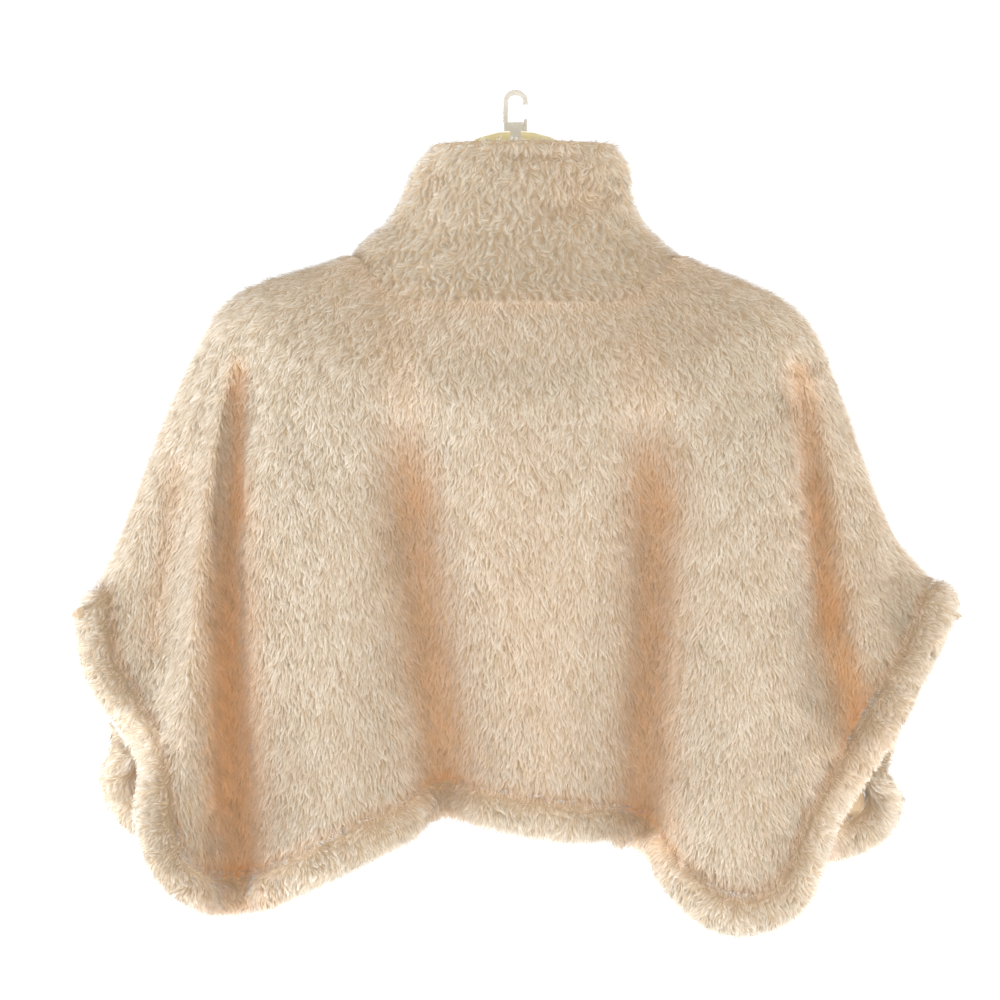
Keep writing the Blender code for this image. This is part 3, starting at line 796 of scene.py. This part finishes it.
@dataclass(frozen=True)
class Pile:
    """Cut of the pile on one piece, and how its strands lie in locks. Angles are in degrees.

    The tints are shares of patches, of each strand and of each lock in how pale a strand is.
    """

    length: float
    width: float
    lean: float
    swirl: float
    curl: float
    seed: int
    ruffle: float = 12.0
    swirl_wavelength: float = 60.0
    curl_wavelength: float = 12.0
    patch_wavelength: float = 40.0
    per_lock: int = 4
    pitch: float = 1.9
    gather: float = 0.7
    own_way: float = 0.3
    faces_apart: float = 0.5
    heave: float = 4.0
    lean_spread: float = 4.0
    least_lean: float = 6.0
    length_range: tuple[float, float] = (0.75, 1.2)
    width_range: tuple[float, float] = (0.7, 1.3)
    root_depth: float = 0.3
    tuft_tilt: float = 0.30
    roundness: float = 1.1
    tip_roundness: float = 0.5
    tip_tilt: float = 0.15
    softness: float = 4.0
    paleness: float = 0.5
    patch_tint: float = 0.12
    own_tint: float = 0.18
    lock_tint: float = 0.34

    ATTRIBUTE: ClassVar[str] = "pile"
    BAKE_MAP: ClassVar[str] = "OFBake"

    def rng(self) -> np.random.Generator:
        """Source of chance, the same on each run."""
        return np.random.default_rng(self.seed)

    def leaders(self, roots: Surface) -> Array:
        """The strand in the middle of the lock that each strand belongs to, on the same face of the cloth."""
        places = roots.points + self.faces_apart * self.length * roots.normals
        chosen = np.arange(0, len(places), self.per_lock)
        tree = KDTree(len(chosen))
        for leader in chosen:
            tree.insert(places[leader], int(leader))
        tree.balance()
        return np.array([tree.find(place)[1] for place in places])

    def headings(self, roots: Surface, leader: Array, rng: np.random.Generator) -> Array:
        """Ways the strands lie within the surface: the nap, swirled, curled and ruffled."""
        angle = self.swirl * Swirl.over(self.swirl_wavelength, rng).at(roots.points)
        angle += self.curl * Swirl.over(self.curl_wavelength, rng).at(roots.points)
        angle = roots.unrest * angle + self.ruffle * rng.normal(size=len(angle))
        angle = np.radians(self.own_way * angle + (1.0 - self.own_way) * angle[leader])[:, None]
        return roots.nap * np.cos(angle) + np.cross(roots.normals, roots.nap) * np.sin(angle)

    def grow(self, name: str, roots: Surface, material: Material) -> bpy.types.Object:
        """Joined mesh of the strands.

        Each strand is one long triangle, whose tip is drawn to the tip of its lock. Its normals are those of
        a round lock on the cloth, so that the locks show as soft crests.

        Args:
            name: Name of the object.
            roots: Where the strands grow.
            material: Finish of the pile.

        Returns:
            The object.
        """
        rng = self.rng()
        count = len(roots.points)
        normals = roots.normals
        leader = self.leaders(roots)
        heading = self.headings(roots, leader, rng)
        aside = np.cross(normals, heading)
        rise = Swirl.over(self.curl_wavelength, rng).at(roots.points)
        patch = Swirl.over(self.patch_wavelength, rng).at(roots.points)
        lean = self.lean + self.heave * rise + self.lean_spread * rng.normal(size=count)
        lean = np.radians(np.maximum(lean, self.least_lean))[:, None]
        length = (self.length * roots.reach * rng.uniform(*self.length_range, count))[:, None]
        tip = roots.points + length * (np.cos(lean) * heading + np.sin(lean) * normals)
        tip += self.gather * (tip[leader] - tip)
        half = aside * (0.5 * self.width * rng.uniform(*self.width_range, count))[:, None]
        base = roots.points - self.root_depth * normals
        points = np.stack([base + half, base - half, tip], axis=1)
        across = np.sum((roots.points - roots.points[leader]) * aside, axis=1) / (0.5 * self.pitch)
        bulge = self.roundness * np.clip(across, -1.0, 1.0)[:, None] * aside
        tilt = unit(normals + self.softness * roots.hollow[:, None] * roots.facing)
        tilt += self.tuft_tilt * rise[:, None] * heading
        tip_normals = tilt + self.tip_roundness * bulge + self.tip_tilt * heading
        shading = np.stack([tilt + bulge, tilt + bulge, tip_normals], axis=1)
        own = rng.normal(size=count)
        tint = self.paleness + self.patch_tint * patch + self.own_tint * own + self.lock_tint * own[leader]
        marks = np.ones((count, 3, 4))
        marks[:, :, 0] = (0.0, 0.0, 1.0)
        marks[:, :, 1] = np.clip(tint, 0.0, 1.0)[:, None]
        # Share of painted shade, from the hollows.
        marks[:, :, 2] = roots.hollow[:, None]
        mesh = self.mesh(name, points.reshape(-1, 3), np.arange(3 * count).reshape(-1, 3))
        mesh.materials.append(material)
        mesh.attributes.new(self.ATTRIBUTE, "FLOAT_COLOR", "POINT").data.foreach_set("color", marks.ravel())
        self.lay_out(mesh, count)
        mesh.normals_split_custom_set_from_vertices(unit(shading).reshape(-1, 3).tolist())
        grown = put_in_scene(name, mesh)
        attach(grown, BODY)
        LOG.info("%s: %d strands", name, count)
        return grown

    @staticmethod
    def mesh(name: str, points: Array, faces: Array) -> bpy.types.Mesh:
        """Mesh of triangles from arrays, in metres and shaded smooth.

        Args:
            name: Name of the mesh.
            points: Its points in millimetres.
            faces: Three point numbers a row.

        Returns:
            The mesh.
        """
        mesh = bpy.data.meshes.new(name)
        mesh.vertices.add(len(points))
        mesh.vertices.foreach_set("co", (points * MM).ravel())
        mesh.loops.add(faces.size)
        mesh.loops.foreach_set("vertex_index", faces.ravel())
        mesh.polygons.add(len(faces))
        mesh.polygons.foreach_set("loop_start", np.arange(0, faces.size, 3))
        mesh.update(calc_edges=True)
        mesh.shade_smooth()
        return mesh

    def lay_out(self, mesh: bpy.types.Mesh, count: int) -> None:
        """Give each of a count of strands a field of its own on the bake map."""
        across = math.ceil(math.sqrt(count))
        strand = np.arange(count)
        corner = np.stack([strand % across, strand // across], axis=1)[:, None]
        triangle = np.array([[0.9, 0.1], [0.1, 0.1], [0.5, 0.9]])
        layer = mesh.uv_layers.new(name=self.BAKE_MAP)
        layer.data.foreach_set("uv", ((corner + triangle) / across).ravel())


def grid_faces(rows: int, columns: int, first: int = 0, closed: bool = False) -> Faces:
    """Quads between the points of a grid.

    Args:
        rows: Number of rows.
        columns: Number of columns.
        first: Number of the grid's first point.
        closed: Whether the last column joins the first.

    Returns:
        The quads.
    """
    faces = []
    for row in range(rows - 1):
        for column in range(columns if closed else columns - 1):
            beside = (column + 1) % columns
            near = first + row * columns
            far = near + columns
            faces.append((near + column, near + beside, far + beside, far + column))
    return faces


def cloth_object(name: str, points: Array, faces: Faces, material: Material) -> bpy.types.Object:
    """Closed smooth cloth piece with its faces turned outwards, which replaces the solid of its name.

    Args:
        name: Name of the solid.
        points: Its points in millimetres.
        faces: Its faces.
        material: Its finish.

    Returns:
        The object.
    """
    mesh = bpy.data.meshes.new(f"{name}_cloth")
    mesh.from_pydata((points * MM).tolist(), [], faces)
    mesh.materials.append(material)
    cloth = put_in_scene(f"{name}_cloth", mesh)
    bpy.ops.object.select_all(action="DESELECT")
    cloth.select_set(True)
    bpy.context.view_layer.objects.active = cloth
    bpy.ops.object.mode_set(mode="EDIT")
    bpy.ops.mesh.select_all(action="SELECT")
    bpy.ops.mesh.normals_make_consistent(inside=False)
    bpy.ops.object.mode_set(mode="OBJECT")
    bpy.ops.object.shade_smooth()
    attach(cloth, BODY)
    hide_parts(name)
    return cloth


@dataclass
class Panel:
    """Back or front panel of the cape: a thin cloth with pile on its outside, in strips."""

    name: str
    side: Side
    ribs: tuple[Rib, ...]
    creases: tuple[Crease, ...]
    strands: int
    strips: int
    pile: Pile
    flat: tuple[float, float]
    area: float
    form: CapeForm
    ground_depth: float = 4.0
    neck_reach: float = 0.75
    hem_reach: float = 1.25
    crest_reach: float = 1.0
    crest_columns: int = 4
    seam_rows: int = 2
    hem_lap: float = 2.5
    surface: Surface = field(init=False)

    def __post_init__(self) -> None:
        """Work out the surface."""
        self.surface = self.form.panel(self.ribs, self.side, self.creases)
        reach = self.surface.reach
        for row in range(self.seam_rows):
            reach[row] = up_from(self.neck_reach, row / self.seam_rows)
            reach[-1 - row] = up_from(self.hem_reach, row / self.seam_rows)
        reach[:, :self.crest_columns] *= self.crest_reach
        reach[:, -self.crest_columns:] *= self.crest_reach

    def build(self, plush: Plush) -> None:
        outer = self.surface.sunk(self.ground_depth)
        inner = self.surface.sunk(self.form.wall)
        for face in (outer, inner):
            face[-1] += self.hem_lap * self.surface.nap[-1]
            face[:, [0, -1], 1] = self.side.value * self.form.seam_gap / 2
        rows, columns = outer.shape[:2]
        size = rows * columns
        faces = grid_faces(rows, columns) + grid_faces(rows, columns, size)
        index = np.arange(size).reshape(rows, columns)
        for rim in (index[0], index[-1], index[:, 0], index[:, -1]):
            faces += [(a, b, b + size, a + size) for a, b in zip(rim[:-1].tolist(), rim[1:].tolist())]
        points = np.vstack([outer.reshape(-1, 3), inner.reshape(-1, 3)])
        cloth = cloth_object(self.name, points, faces, plush.ground)
        roots = self.surface.scatter(self.strands, self.ground_depth, self.pile.rng())
        order = np.array_split(np.argsort(roots.points[:, 0]), self.strips)
        piles = [
            self.pile.grow(f"{self.name}_pile_{number}", roots.part(chosen), plush.pile)
            for number, chosen in enumerate(order, 1)
        ]
        LOG.info("%s built", self.name)


@dataclass(frozen=True)
class CollarLevel:
    """Level of the collar above the neck seam."""

    z: float
    left: float
    right: float
    half_depth: float
    dip: float


@dataclass
class Collar:
    """Funnel collar: a doubled strip with pile on both faces and over its top."""

    form: CapeForm
    pile: Pile
    levels: tuple[CollarLevel, ...]
    creases: tuple[Crease, ...]
    strands: int
    flat: tuple[float, float]
    area: float
    wall: float = 12.0
    ground_depth: float = 4.0
    rim_angles: tuple[float, ...] = (20.0, 45.0, 70.0, 90.0, 110.0, 135.0, 160.0)
    level_steps: int = 5
    seam_reach: float = 1.1
    rim_reach: float = 1.1
    rim_hold: float = 0.4
    # Shares of painted shade along the neck seam and in the creases.
    seam_painted_shade: float = 0.1
    crease_painted_shade: float = 0.04

    def ring(self, level: CollarLevel, turns: Array, sides: Array, inset: float, lift: float) -> Array:
        """Ring of the collar at one level.

        Args:
            level: The level.
            turns: Degrees round the neck.
            sides: Sign of Y at each turn.
            inset: How far the ring is brought in from the outside.
            lift: How far it is lifted.

        Returns:
            Its points.
        """
        middle = (level.left + level.right) / 2
        half_width = (level.right - level.left) / 2 - inset
        angles = np.radians(turns)
        return np.column_stack([
            middle - half_width * np.cos(angles),
            sides * (level.half_depth - inset) * np.sin(angles),
            level.z - level.dip * self.form.neck_drop(turns) + lift,
        ])

    def face_rows(self, rings: list[Array]) -> Array:
        """Rows of a smooth face through rings."""
        rings = np.array(rings)
        ends = np.concatenate([2.0 * rings[:1] - rings[1:2], rings, 2.0 * rings[-1:] - rings[-2:-1]])
        steps = [self.level_steps] * (len(rings) - 1)
        return np.array([smooth_curve(line, steps) for line in ends.transpose(1, 0, 2)]).transpose(1, 0, 2)

    def surface(self, outer_seam: Array, inner_seam: Array) -> Surface:
        """Surface up the outside, over the top and down the inside.

        Args:
            outer_seam: Neck seam on the outside of the plush, all round.
            inner_seam: Neck seam on the inside.

        Returns:
            The surface, whose last column is the first again.
        """
        turns = np.degrees(np.arccos(np.clip(-outer_seam[:, 0] / self.form.neck_half_width, -1.0, 1.0)))
        sides = np.sign(outer_seam[:, 1])
        half = self.wall / 2
        rims = np.array([
            self.ring(self.levels[-1], turns, sides, half * (1.0 - math.cos(bend)), half * math.sin(bend))
            for bend in np.radians(self.rim_angles)
        ])
        outside = [self.ring(level, turns, sides, 0.0, 0.0) for level in self.levels]
        inside = [self.ring(level, turns, sides, self.wall, 0.0) for level in reversed(self.levels)]
        outer = self.face_rows([outer_seam] + outside)
        points = np.concatenate([outer, rims, self.face_rows(inside + [inner_seam])])
        depth = crease_depth(points, self.creases) * (sides < 0.0)[:, None]
        depth[len(outer):] = 0.0
        points -= depth * ring_normals(points)
        normals = ring_normals(points)
        count = len(points)
        crest = len(outer) + len(rims) // 2
        open_ = smoothstep(from_ends(count)[:, None] * np.ones(len(turns)) / self.level_steps)
        from_rim = np.abs(np.arange(count) - crest)[:, None]
        reach = up_from(self.seam_reach, open_)
        reach *= up_from(self.rim_reach, smoothstep(from_rim / len(rims) - self.rim_hold))
        # Painted shade along the neck seam and in the creases.
        hollow = self.seam_painted_shade * (1.0 - open_) + self.crease_painted_shade * depth[..., 0]
        parted = np.where(np.arange(count) <= crest, -1.0, 1.0)[:, None, None]
        nap = along(parted * np.gradient(points, axis=0), normals)
        return Surface(points, normals, normals, nap, hollow, reach, np.ones(reach.shape)).closed()

    def build(self, seams: tuple[Array, ...], plush: Plush) -> None:
        surface = self.surface(*seams)
        points = surface.sunk(self.ground_depth)[:, :-1]
        rows, columns = points.shape[:2]
        last = (rows - 1) * columns
        faces = grid_faces(rows, columns, closed=True)
        faces += [(k, (k + 1) % columns, last + (k + 1) % columns, last + k) for k in range(columns)]
        cloth = cloth_object("collar", points.reshape(-1, 3), faces, plush.ground)
        roots = surface.scatter(self.strands, self.ground_depth, self.pile.rng())
        grown = self.pile.grow("collar_pile", roots, plush.pile)
        LOG.info("collar built")


def all_round(back: Array, front: Array) -> Array:
    """Closed row round the cape, from a row of the back and the same row of the front."""
    row = np.vstack([back, front[-2:0:-1]])
    row[0, 1] = 0.0
    row[len(back) - 1, 1] = 0.0
    return row


@dataclass
class EdgeBand:
    """Rolled band round the whole edge, in two strips.

    The inner side, against the panel, keeps its form and has painted shade, warmer and darker, and its cloth
    comes up to the surface of the solid where it meets the panel.
    """

    form: CapeForm
    pile: Pile
    creases: tuple[Crease, ...]
    strands: int
    width: float = 39.0
    thickness: float = 27.0
    gap: float = 0.7
    sides: int = 20
    ground_depth: float = 5.0
    fill: float = 0.5
    end_columns: int = 3
    end_dip: float = 4.0
    nap_drop: float = 0.5
    inner_hold: float = 1.4
    inner_painted_shade: float = 0.3
    fold_painted_shade: float = 0.6
    facing_start: float = 0.3
    facing_pull: float = 2.0
    flush_start: float = 0.9
    flush_span: float = 0.08

    def rings(self, edge: Array, ahead: Array, facing: Array) -> tuple[Array, Array, Array, Array]:
        """Sections of the band.

        Args:
            edge: Points of the bound edge, all round.
            ahead: Ways in which the panels run out over the edge.
            facing: Normals of the panels at the edge.

        Returns:
            The sections, and for each the way out of the panel, the way the panel faces and the way the band
            runs.
        """
        run = unit(np.roll(edge, -1, axis=0) - np.roll(edge, 1, axis=0))
        facing = along(facing, run)
        out = np.cross(run, facing)
        out *= np.sign(np.sum(out * ahead, axis=1, keepdims=True))
        middle = edge - self.form.wall / 2 * facing + (self.gap + self.width / 2) * out
        angles = (np.arange(self.sides) + 0.5) * 2.0 * math.pi / self.sides
        across = self.width / 2 * np.cos(angles)[:, None] * out[:, None]
        through = self.thickness / 2 * np.sin(angles)[:, None] * facing[:, None]
        return middle[:, None] + across + through, out, facing, run

    def strip(self, name: str, rings: Array, out: Array, facing: Array, folds: Array, plush: Plush) -> None:
        """Make one strip and its pile.

        Args:
            name: Name of its solid.
            rings: Its sections.
            out: The way out of the panel at each section.
            facing: The way the panel faces at each section.
            folds: How deep each section lies in a fold of the panel, as the share of painted shade there.
            plush: Its materials.
        """
        normals = ring_normals(rings)
        outwards = np.sign(np.sum(normals * (rings - rings.mean(axis=1, keepdims=True))))
        count = len(rings)
        dip = self.end_dip * (1.0 - smoothstep(from_ends(count) / self.end_columns))[:, None, None]
        inner = np.clip(-outwards * np.sum(normals * out[:, None], axis=2), 0.0, 1.0)
        free = (1.0 - smoothstep(self.inner_hold * inner))[..., None]
        dip = (dip + crease_depth(rings, self.creases)) * free
        rings = rings - outwards * dip * normals
        normals = outwards * ring_normals(rings)
        nap = along(out[:, None] + self.nap_drop * DOWN, normals)
        # Painted shade on the inner side and where a fold of the panel meets the band.
        hollow = np.clip(self.inner_painted_shade * inner ** 2 + self.fold_painted_shade * folds[:, None], 0.0, 1.0)
        even = np.ones(hollow.shape)
        seen = np.sum(normals * facing[:, None], axis=2, keepdims=True) + self.facing_start
        facing = unit(normals + self.facing_pull * np.clip(seen, 0.0, 1.0) * facing[:, None])
        surface = Surface(rings, normals, facing, nap, hollow, even, even)
        flush = smoothstep((inner - self.flush_start) / self.flush_span)
        depth = self.ground_depth * (1.0 - flush)[..., None]
        faces = grid_faces(count, self.sides, closed=True)
        faces.append(tuple(range(self.sides)))
        faces.append(tuple(range((count - 1) * self.sides, count * self.sides)))
        cloth = cloth_object(name, surface.sunk(depth).reshape(-1, 3), faces, plush.ground)
        depth = np.concatenate([depth, depth[:, :1]], axis=1)
        roots = surface.closed().scatter(self.strands, depth, self.pile.rng())
        self.pile.grow(f"{name}_pile", roots, plush.pile)
        LOG.info("%s built", name)

    def build(self, back: Surface, front: Surface, plush: Plush) -> None:
        """Make both strips, along the edges of the back and the front."""
        edge = all_round(back.points[-1], front.points[-1])
        ahead = edge - all_round(back.points[-2], front.points[-2])
        rings, out, facing, run = self.rings(edge, ahead, all_round(back.normals[-1], front.normals[-1]))
        # The painted fold shade of the panels at the hem, less the hem's own painted shade.
        folds = np.concatenate([back.hollow[-1], front.hollow[-1][-2:0:-1]]) - self.form.hem_painted_shade
        count = len(rings)
        back_join = self.form.rib_column(BACK_RIBS, BACK_BAND_JOIN)
        front_join = count - self.form.rib_column(FRONT_RIBS, FRONT_BAND_JOIN)
        right = np.arange(back_join, front_join + 1)
        left = np.arange(front_join, count + back_join + 1) % count
        for name, chosen in (("right_band", right), ("left_band", left)):
            sections = rings[chosen]
            sections[0] += run[chosen[0]] * self.form.seam_gap / 2
            sections[-1] -= run[chosen[-1]] * self.form.seam_gap / 2
            self.strip(name, sections, out[chosen], facing[chosen], folds[chosen], plush)


@dataclass(frozen=True)
class Hanger:
    """Hanger body and hook, whose solids are shown as they are."""

    wood: WoodFinish = WoodFinish()
    plastic: PlasticFinish = PlasticFinish()

    def dress(self) -> None:
        """Give the solids their finishes."""
        for node, finish in (("hanger", self.wood), ("hook", self.plastic)):
            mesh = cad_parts[node].data
            mesh.materials.clear()
            mesh.materials.append(finish.material())
            LOG.info("%s dressed", node)


COOL: Triple = (0.90, 0.96, 1.0)
WARM: Triple = (1.0, 0.96, 0.86)


@dataclass(frozen=True)
class AreaLamp:
    """Soft square lamp, aimed at the cape. Without shadow it stands for light that scatters in the pile."""

    name: str
    place: Triple
    size: float
    watts: float
    colour: Triple = (1.0, 1.0, 1.0)
    shadow: bool = True

    def hang(self, aim: Vector) -> None:
        """Add the lamp."""
        lamp = bpy.data.lights.new(self.name, "AREA")
        lamp.size = self.size
        lamp.energy = self.watts
        lamp.color = self.colour
        lamp.use_shadow = self.shadow
        made = put_in_scene(self.name, lamp)
        made.location = self.place
        made.rotation_euler = (aim - made.location).to_track_quat("-Z", "Y").to_euler()


@dataclass(frozen=True)
class Studio:
    """Camera at the photograph's view, white surroundings, floor and lamps, in metres."""

    camera_place: Triple = (-0.01395, -3.0, -0.3645)
    lens: float = 120.0
    sensor: float = 36.0
    floor_z: float = -1.8
    floor_radius: float = 1.5
    floor_thickness: float = 0.03
    floor_edge: float = 0.01
    ambient: float = 0.28
    ambient_colour: Colour = (1.0, 0.88, 0.74, 1.0)
    backdrop: float = 1.1
    aim: Triple = (0.0, 0.0, -0.42)
    lamps: tuple[AreaLamp, ...] = (
        AreaLamp("key", (-2.3, -1.7, -1.3), 1.4, 43.0),
        AreaLamp("fill", (2.2, -2.0, -1.1), 1.6, 22.0, WARM),
        AreaLamp("front", (0.0, -3.4, -0.6), 1.0, 39.0, WARM, shadow=False),
        AreaLamp("left_side", (-2.4, -0.3, -1.5), 1.4, 110.0, COOL),
        AreaLamp("right_side", (2.4, -0.3, -1.3), 1.4, 76.0),
        AreaLamp("left_rim", (-1.6, 1.4, -0.4), 1.6, 46.0, COOL),
        AreaLamp("right_rim", (1.6, 1.4, -0.4), 1.6, 46.0),
        AreaLamp("top", (0.0, 0.1, 2.4), 2.0, 46.0, shadow=False),
    )

    def build(self) -> None:
        """Set up the studio."""
        scene = bpy.context.scene
        camera = bpy.data.cameras.new("camera")
        camera.lens = self.lens
        camera.sensor_width = self.sensor
        scene.camera = put_in_scene("camera", camera)
        scene.camera.location = self.camera_place
        scene.camera.rotation_euler = (math.pi / 2, 0.0, 0.0)
        scene.view_settings.view_transform = "Standard"
        for lamp in self.lamps:
            lamp.hang(Vector(self.aim))
        self.surround(scene)
        self.lay_floor()
        LOG.info("studio set up")

    def surround(self, scene: bpy.types.Scene) -> None:
        """White world, brighter where the camera looks at it than where it lights the cape."""
        scene.world = bpy.data.worlds.new("white")
        sheet = NodeSheet(scene.world)
        lit = {"Color": self.ambient_colour, "Strength": self.ambient}
        light = Value(sheet, sheet.feed(sheet.nodes["Background"], lit).outputs[0])
        looks = {"Color": (1.0, 1.0, 1.0, 1.0), "Strength": self.backdrop}
        seen = sheet.result("ShaderNodeBackground", {}, looks)
        looked_at = sheet.result("ShaderNodeLightPath", {}, {}, "Is Camera Ray")
        sheet.blend(looked_at, light, seen, "World Output")

    def lay_floor(self) -> None:
        """Round white floor with a softened edge, below the hem."""
        bpy.ops.object.select_all(action="DESELECT")
        bpy.ops.mesh.primitive_circle_add(vertices=128, radius=self.floor_radius, fill_type="NGON")
        floor = bpy.context.object
        floor.name = "floor"
        bpy.ops.object.mode_set(mode="EDIT")
        bpy.ops.mesh.select_all(action="SELECT")
        bpy.ops.transform.translate(value=(0.0, 0.0, self.floor_z))
        bpy.ops.mesh.extrude_region_move(TRANSFORM_OT_translate={"value": (0.0, 0.0, -self.floor_thickness)})
        bpy.ops.mesh.select_all(action="SELECT")
        bpy.ops.mesh.normals_make_consistent(inside=False)
        bpy.ops.object.mode_set(mode="OBJECT")
        edge = floor.modifiers.new("edge", "BEVEL")
        edge.width = self.floor_edge
        edge.segments = 3
        bpy.ops.object.modifier_apply(modifier=edge.name)
        floor.data.materials.append(FloorFinish().material())
        floor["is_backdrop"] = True


SHOULDER_RIDGES = Crease.table(
    (-160, -150, -258, -192, 36, -5),
    (160, -150, 262, -208, 36, -5),
)

# Each row has X and Z of the start and the end, width, depth and, at times, painted shade; rows of depth 0
# only paint shade.
BACK_CREASES = SHOULDER_RIDGES + Crease.table(
    (-120, -200, 130, -200, 60, 0, 0.08),
    (8, -330, 12, -610, 70, 0, 0.1),
    (-196, -300, -176, -330, 20, 3),
    (-60, -235, 40, -241, 16, 2),
    (210, -235, 250, -300, 14, 3),
    (-228, -245, -238, -310, 12, 3),
    (-303, -335, -325, -490, 9, 6, 0.22),
    (-248, -249, -248, -382, 9, 2, 0.6),
    (-248, -382, -244, -640, 15, 0, 0.08),
    (-253, -300, -262, -640, 11, 0, 0.28),
    (-106, -220, -88, -364, 24, 2, 0.18),
    (108, -220, 118, -364, 30, 2, 0.18),
    (254, -250, 266, -345, 14, 4, 0.5),
    (266, -345, 281, -471, 14, 4, 0.65),
    (281, -471, 304, -555, 14, 4, 0.6),
    (338, -400, 345, -470, 9, 4),
)

FRONT_CREASES = SHOULDER_RIDGES + Crease.table(
    (-150, -250, -120, -300, 18, 3),
    (-40, -240, 60, -236, 16, 2),
    (190, -240, 225, -310, 14, 3),
    (20, -420, 26, -520, 22, 3),
)

COLLAR_LEVELS = (
    CollarLevel(-131.0, -139.0, 134.0, 66.0, 34.0),
    CollarLevel(-111.0, -116.0, 115.0, 60.0, 23.0),
    CollarLevel(-89.0, -104.0, 107.0, 56.0, 13.0),
    CollarLevel(-67.0, -95.0, 105.0, 53.0, 5.0),
    CollarLevel(-47.5, -79.0, 94.0, 50.0, 0.0),
)

COLLAR_CREASES = Crease.table(
    (-3, -58, 56, -56, 4, 4),
    (30, -105, 78, -98, 9, 4),
    (48, -82, 62, -80, 15, 4),
    (-74, -66, -78, -92, 7, 3),
)

BAND_CREASES = Crease.table(
    (-264, -690, -246, -728, 6, 5),
    (302, -588, 330, -598, 7, 4),
    (-330, -574, -356, -560, 8, 3),
)

BACK_PILE = Pile(length=7.5, width=0.9, lean=30.0, swirl=10.0, curl=24.0, seed=11)
FRONT_PILE = Pile(length=10.0, width=1.8, lean=19.0, swirl=14.0, curl=26.0, seed=12, pitch=3.4)
COLLAR_PILE = Pile(
    length=7.5, width=0.95, lean=30.0, swirl=24.0, curl=36.0, seed=13, swirl_wavelength=34.0, paleness=0.32,
)
BAND_PILE = Pile(length=7.5, width=0.95, lean=28.0, swirl=14.0, curl=26.0, seed=14, swirl_wavelength=40.0)


def main() -> None:
    """Build the cape, dress the hanger and set up the studio."""
    logging.basicConfig(level=logging.INFO, format="%(message)s")
    solid_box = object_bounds()
    form = CapeForm()
    plush = Plush(ground=GroundFinish().material(), pile=PileFinish().material())
    back = Panel(
        "back_panel", Side.BACK, BACK_RIBS, BACK_CREASES, strands=420000, strips=3, pile=BACK_PILE,
        flat=(0.98, 0.55), area=0.40, form=form,
    )
    front = Panel(
        "front_panel", Side.FRONT, FRONT_RIBS, FRONT_CREASES, strands=130000, strips=1, pile=FRONT_PILE,
        flat=(0.98, 0.52), area=0.38, form=form, crest_reach=0.5,
    )
    back.build(plush)
    front.build(plush)
    plain = [form.panel(panel.ribs, panel.side, ()) for panel in (back, front)]
    collar = Collar(
        form, COLLAR_PILE, COLLAR_LEVELS, COLLAR_CREASES, strands=120000, flat=(0.74, 0.13), area=0.08,
    )
    seams = tuple(all_round(*(half.sunk(depth)[0] for half in plain)) for depth in (0.0, form.wall))
    collar.build(seams, plush)
    EdgeBand(form, BAND_PILE, BAND_CREASES, strands=95000).build(*plain, plush)
    Hanger().dress()
    Studio().build()
    boxes = {"solids": solid_box, "visual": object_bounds()}
    sizes = {name: [[float(x) for x in corner] for corner in box] for name, box in boxes.items()}


if __name__ == "__main__":
    main()
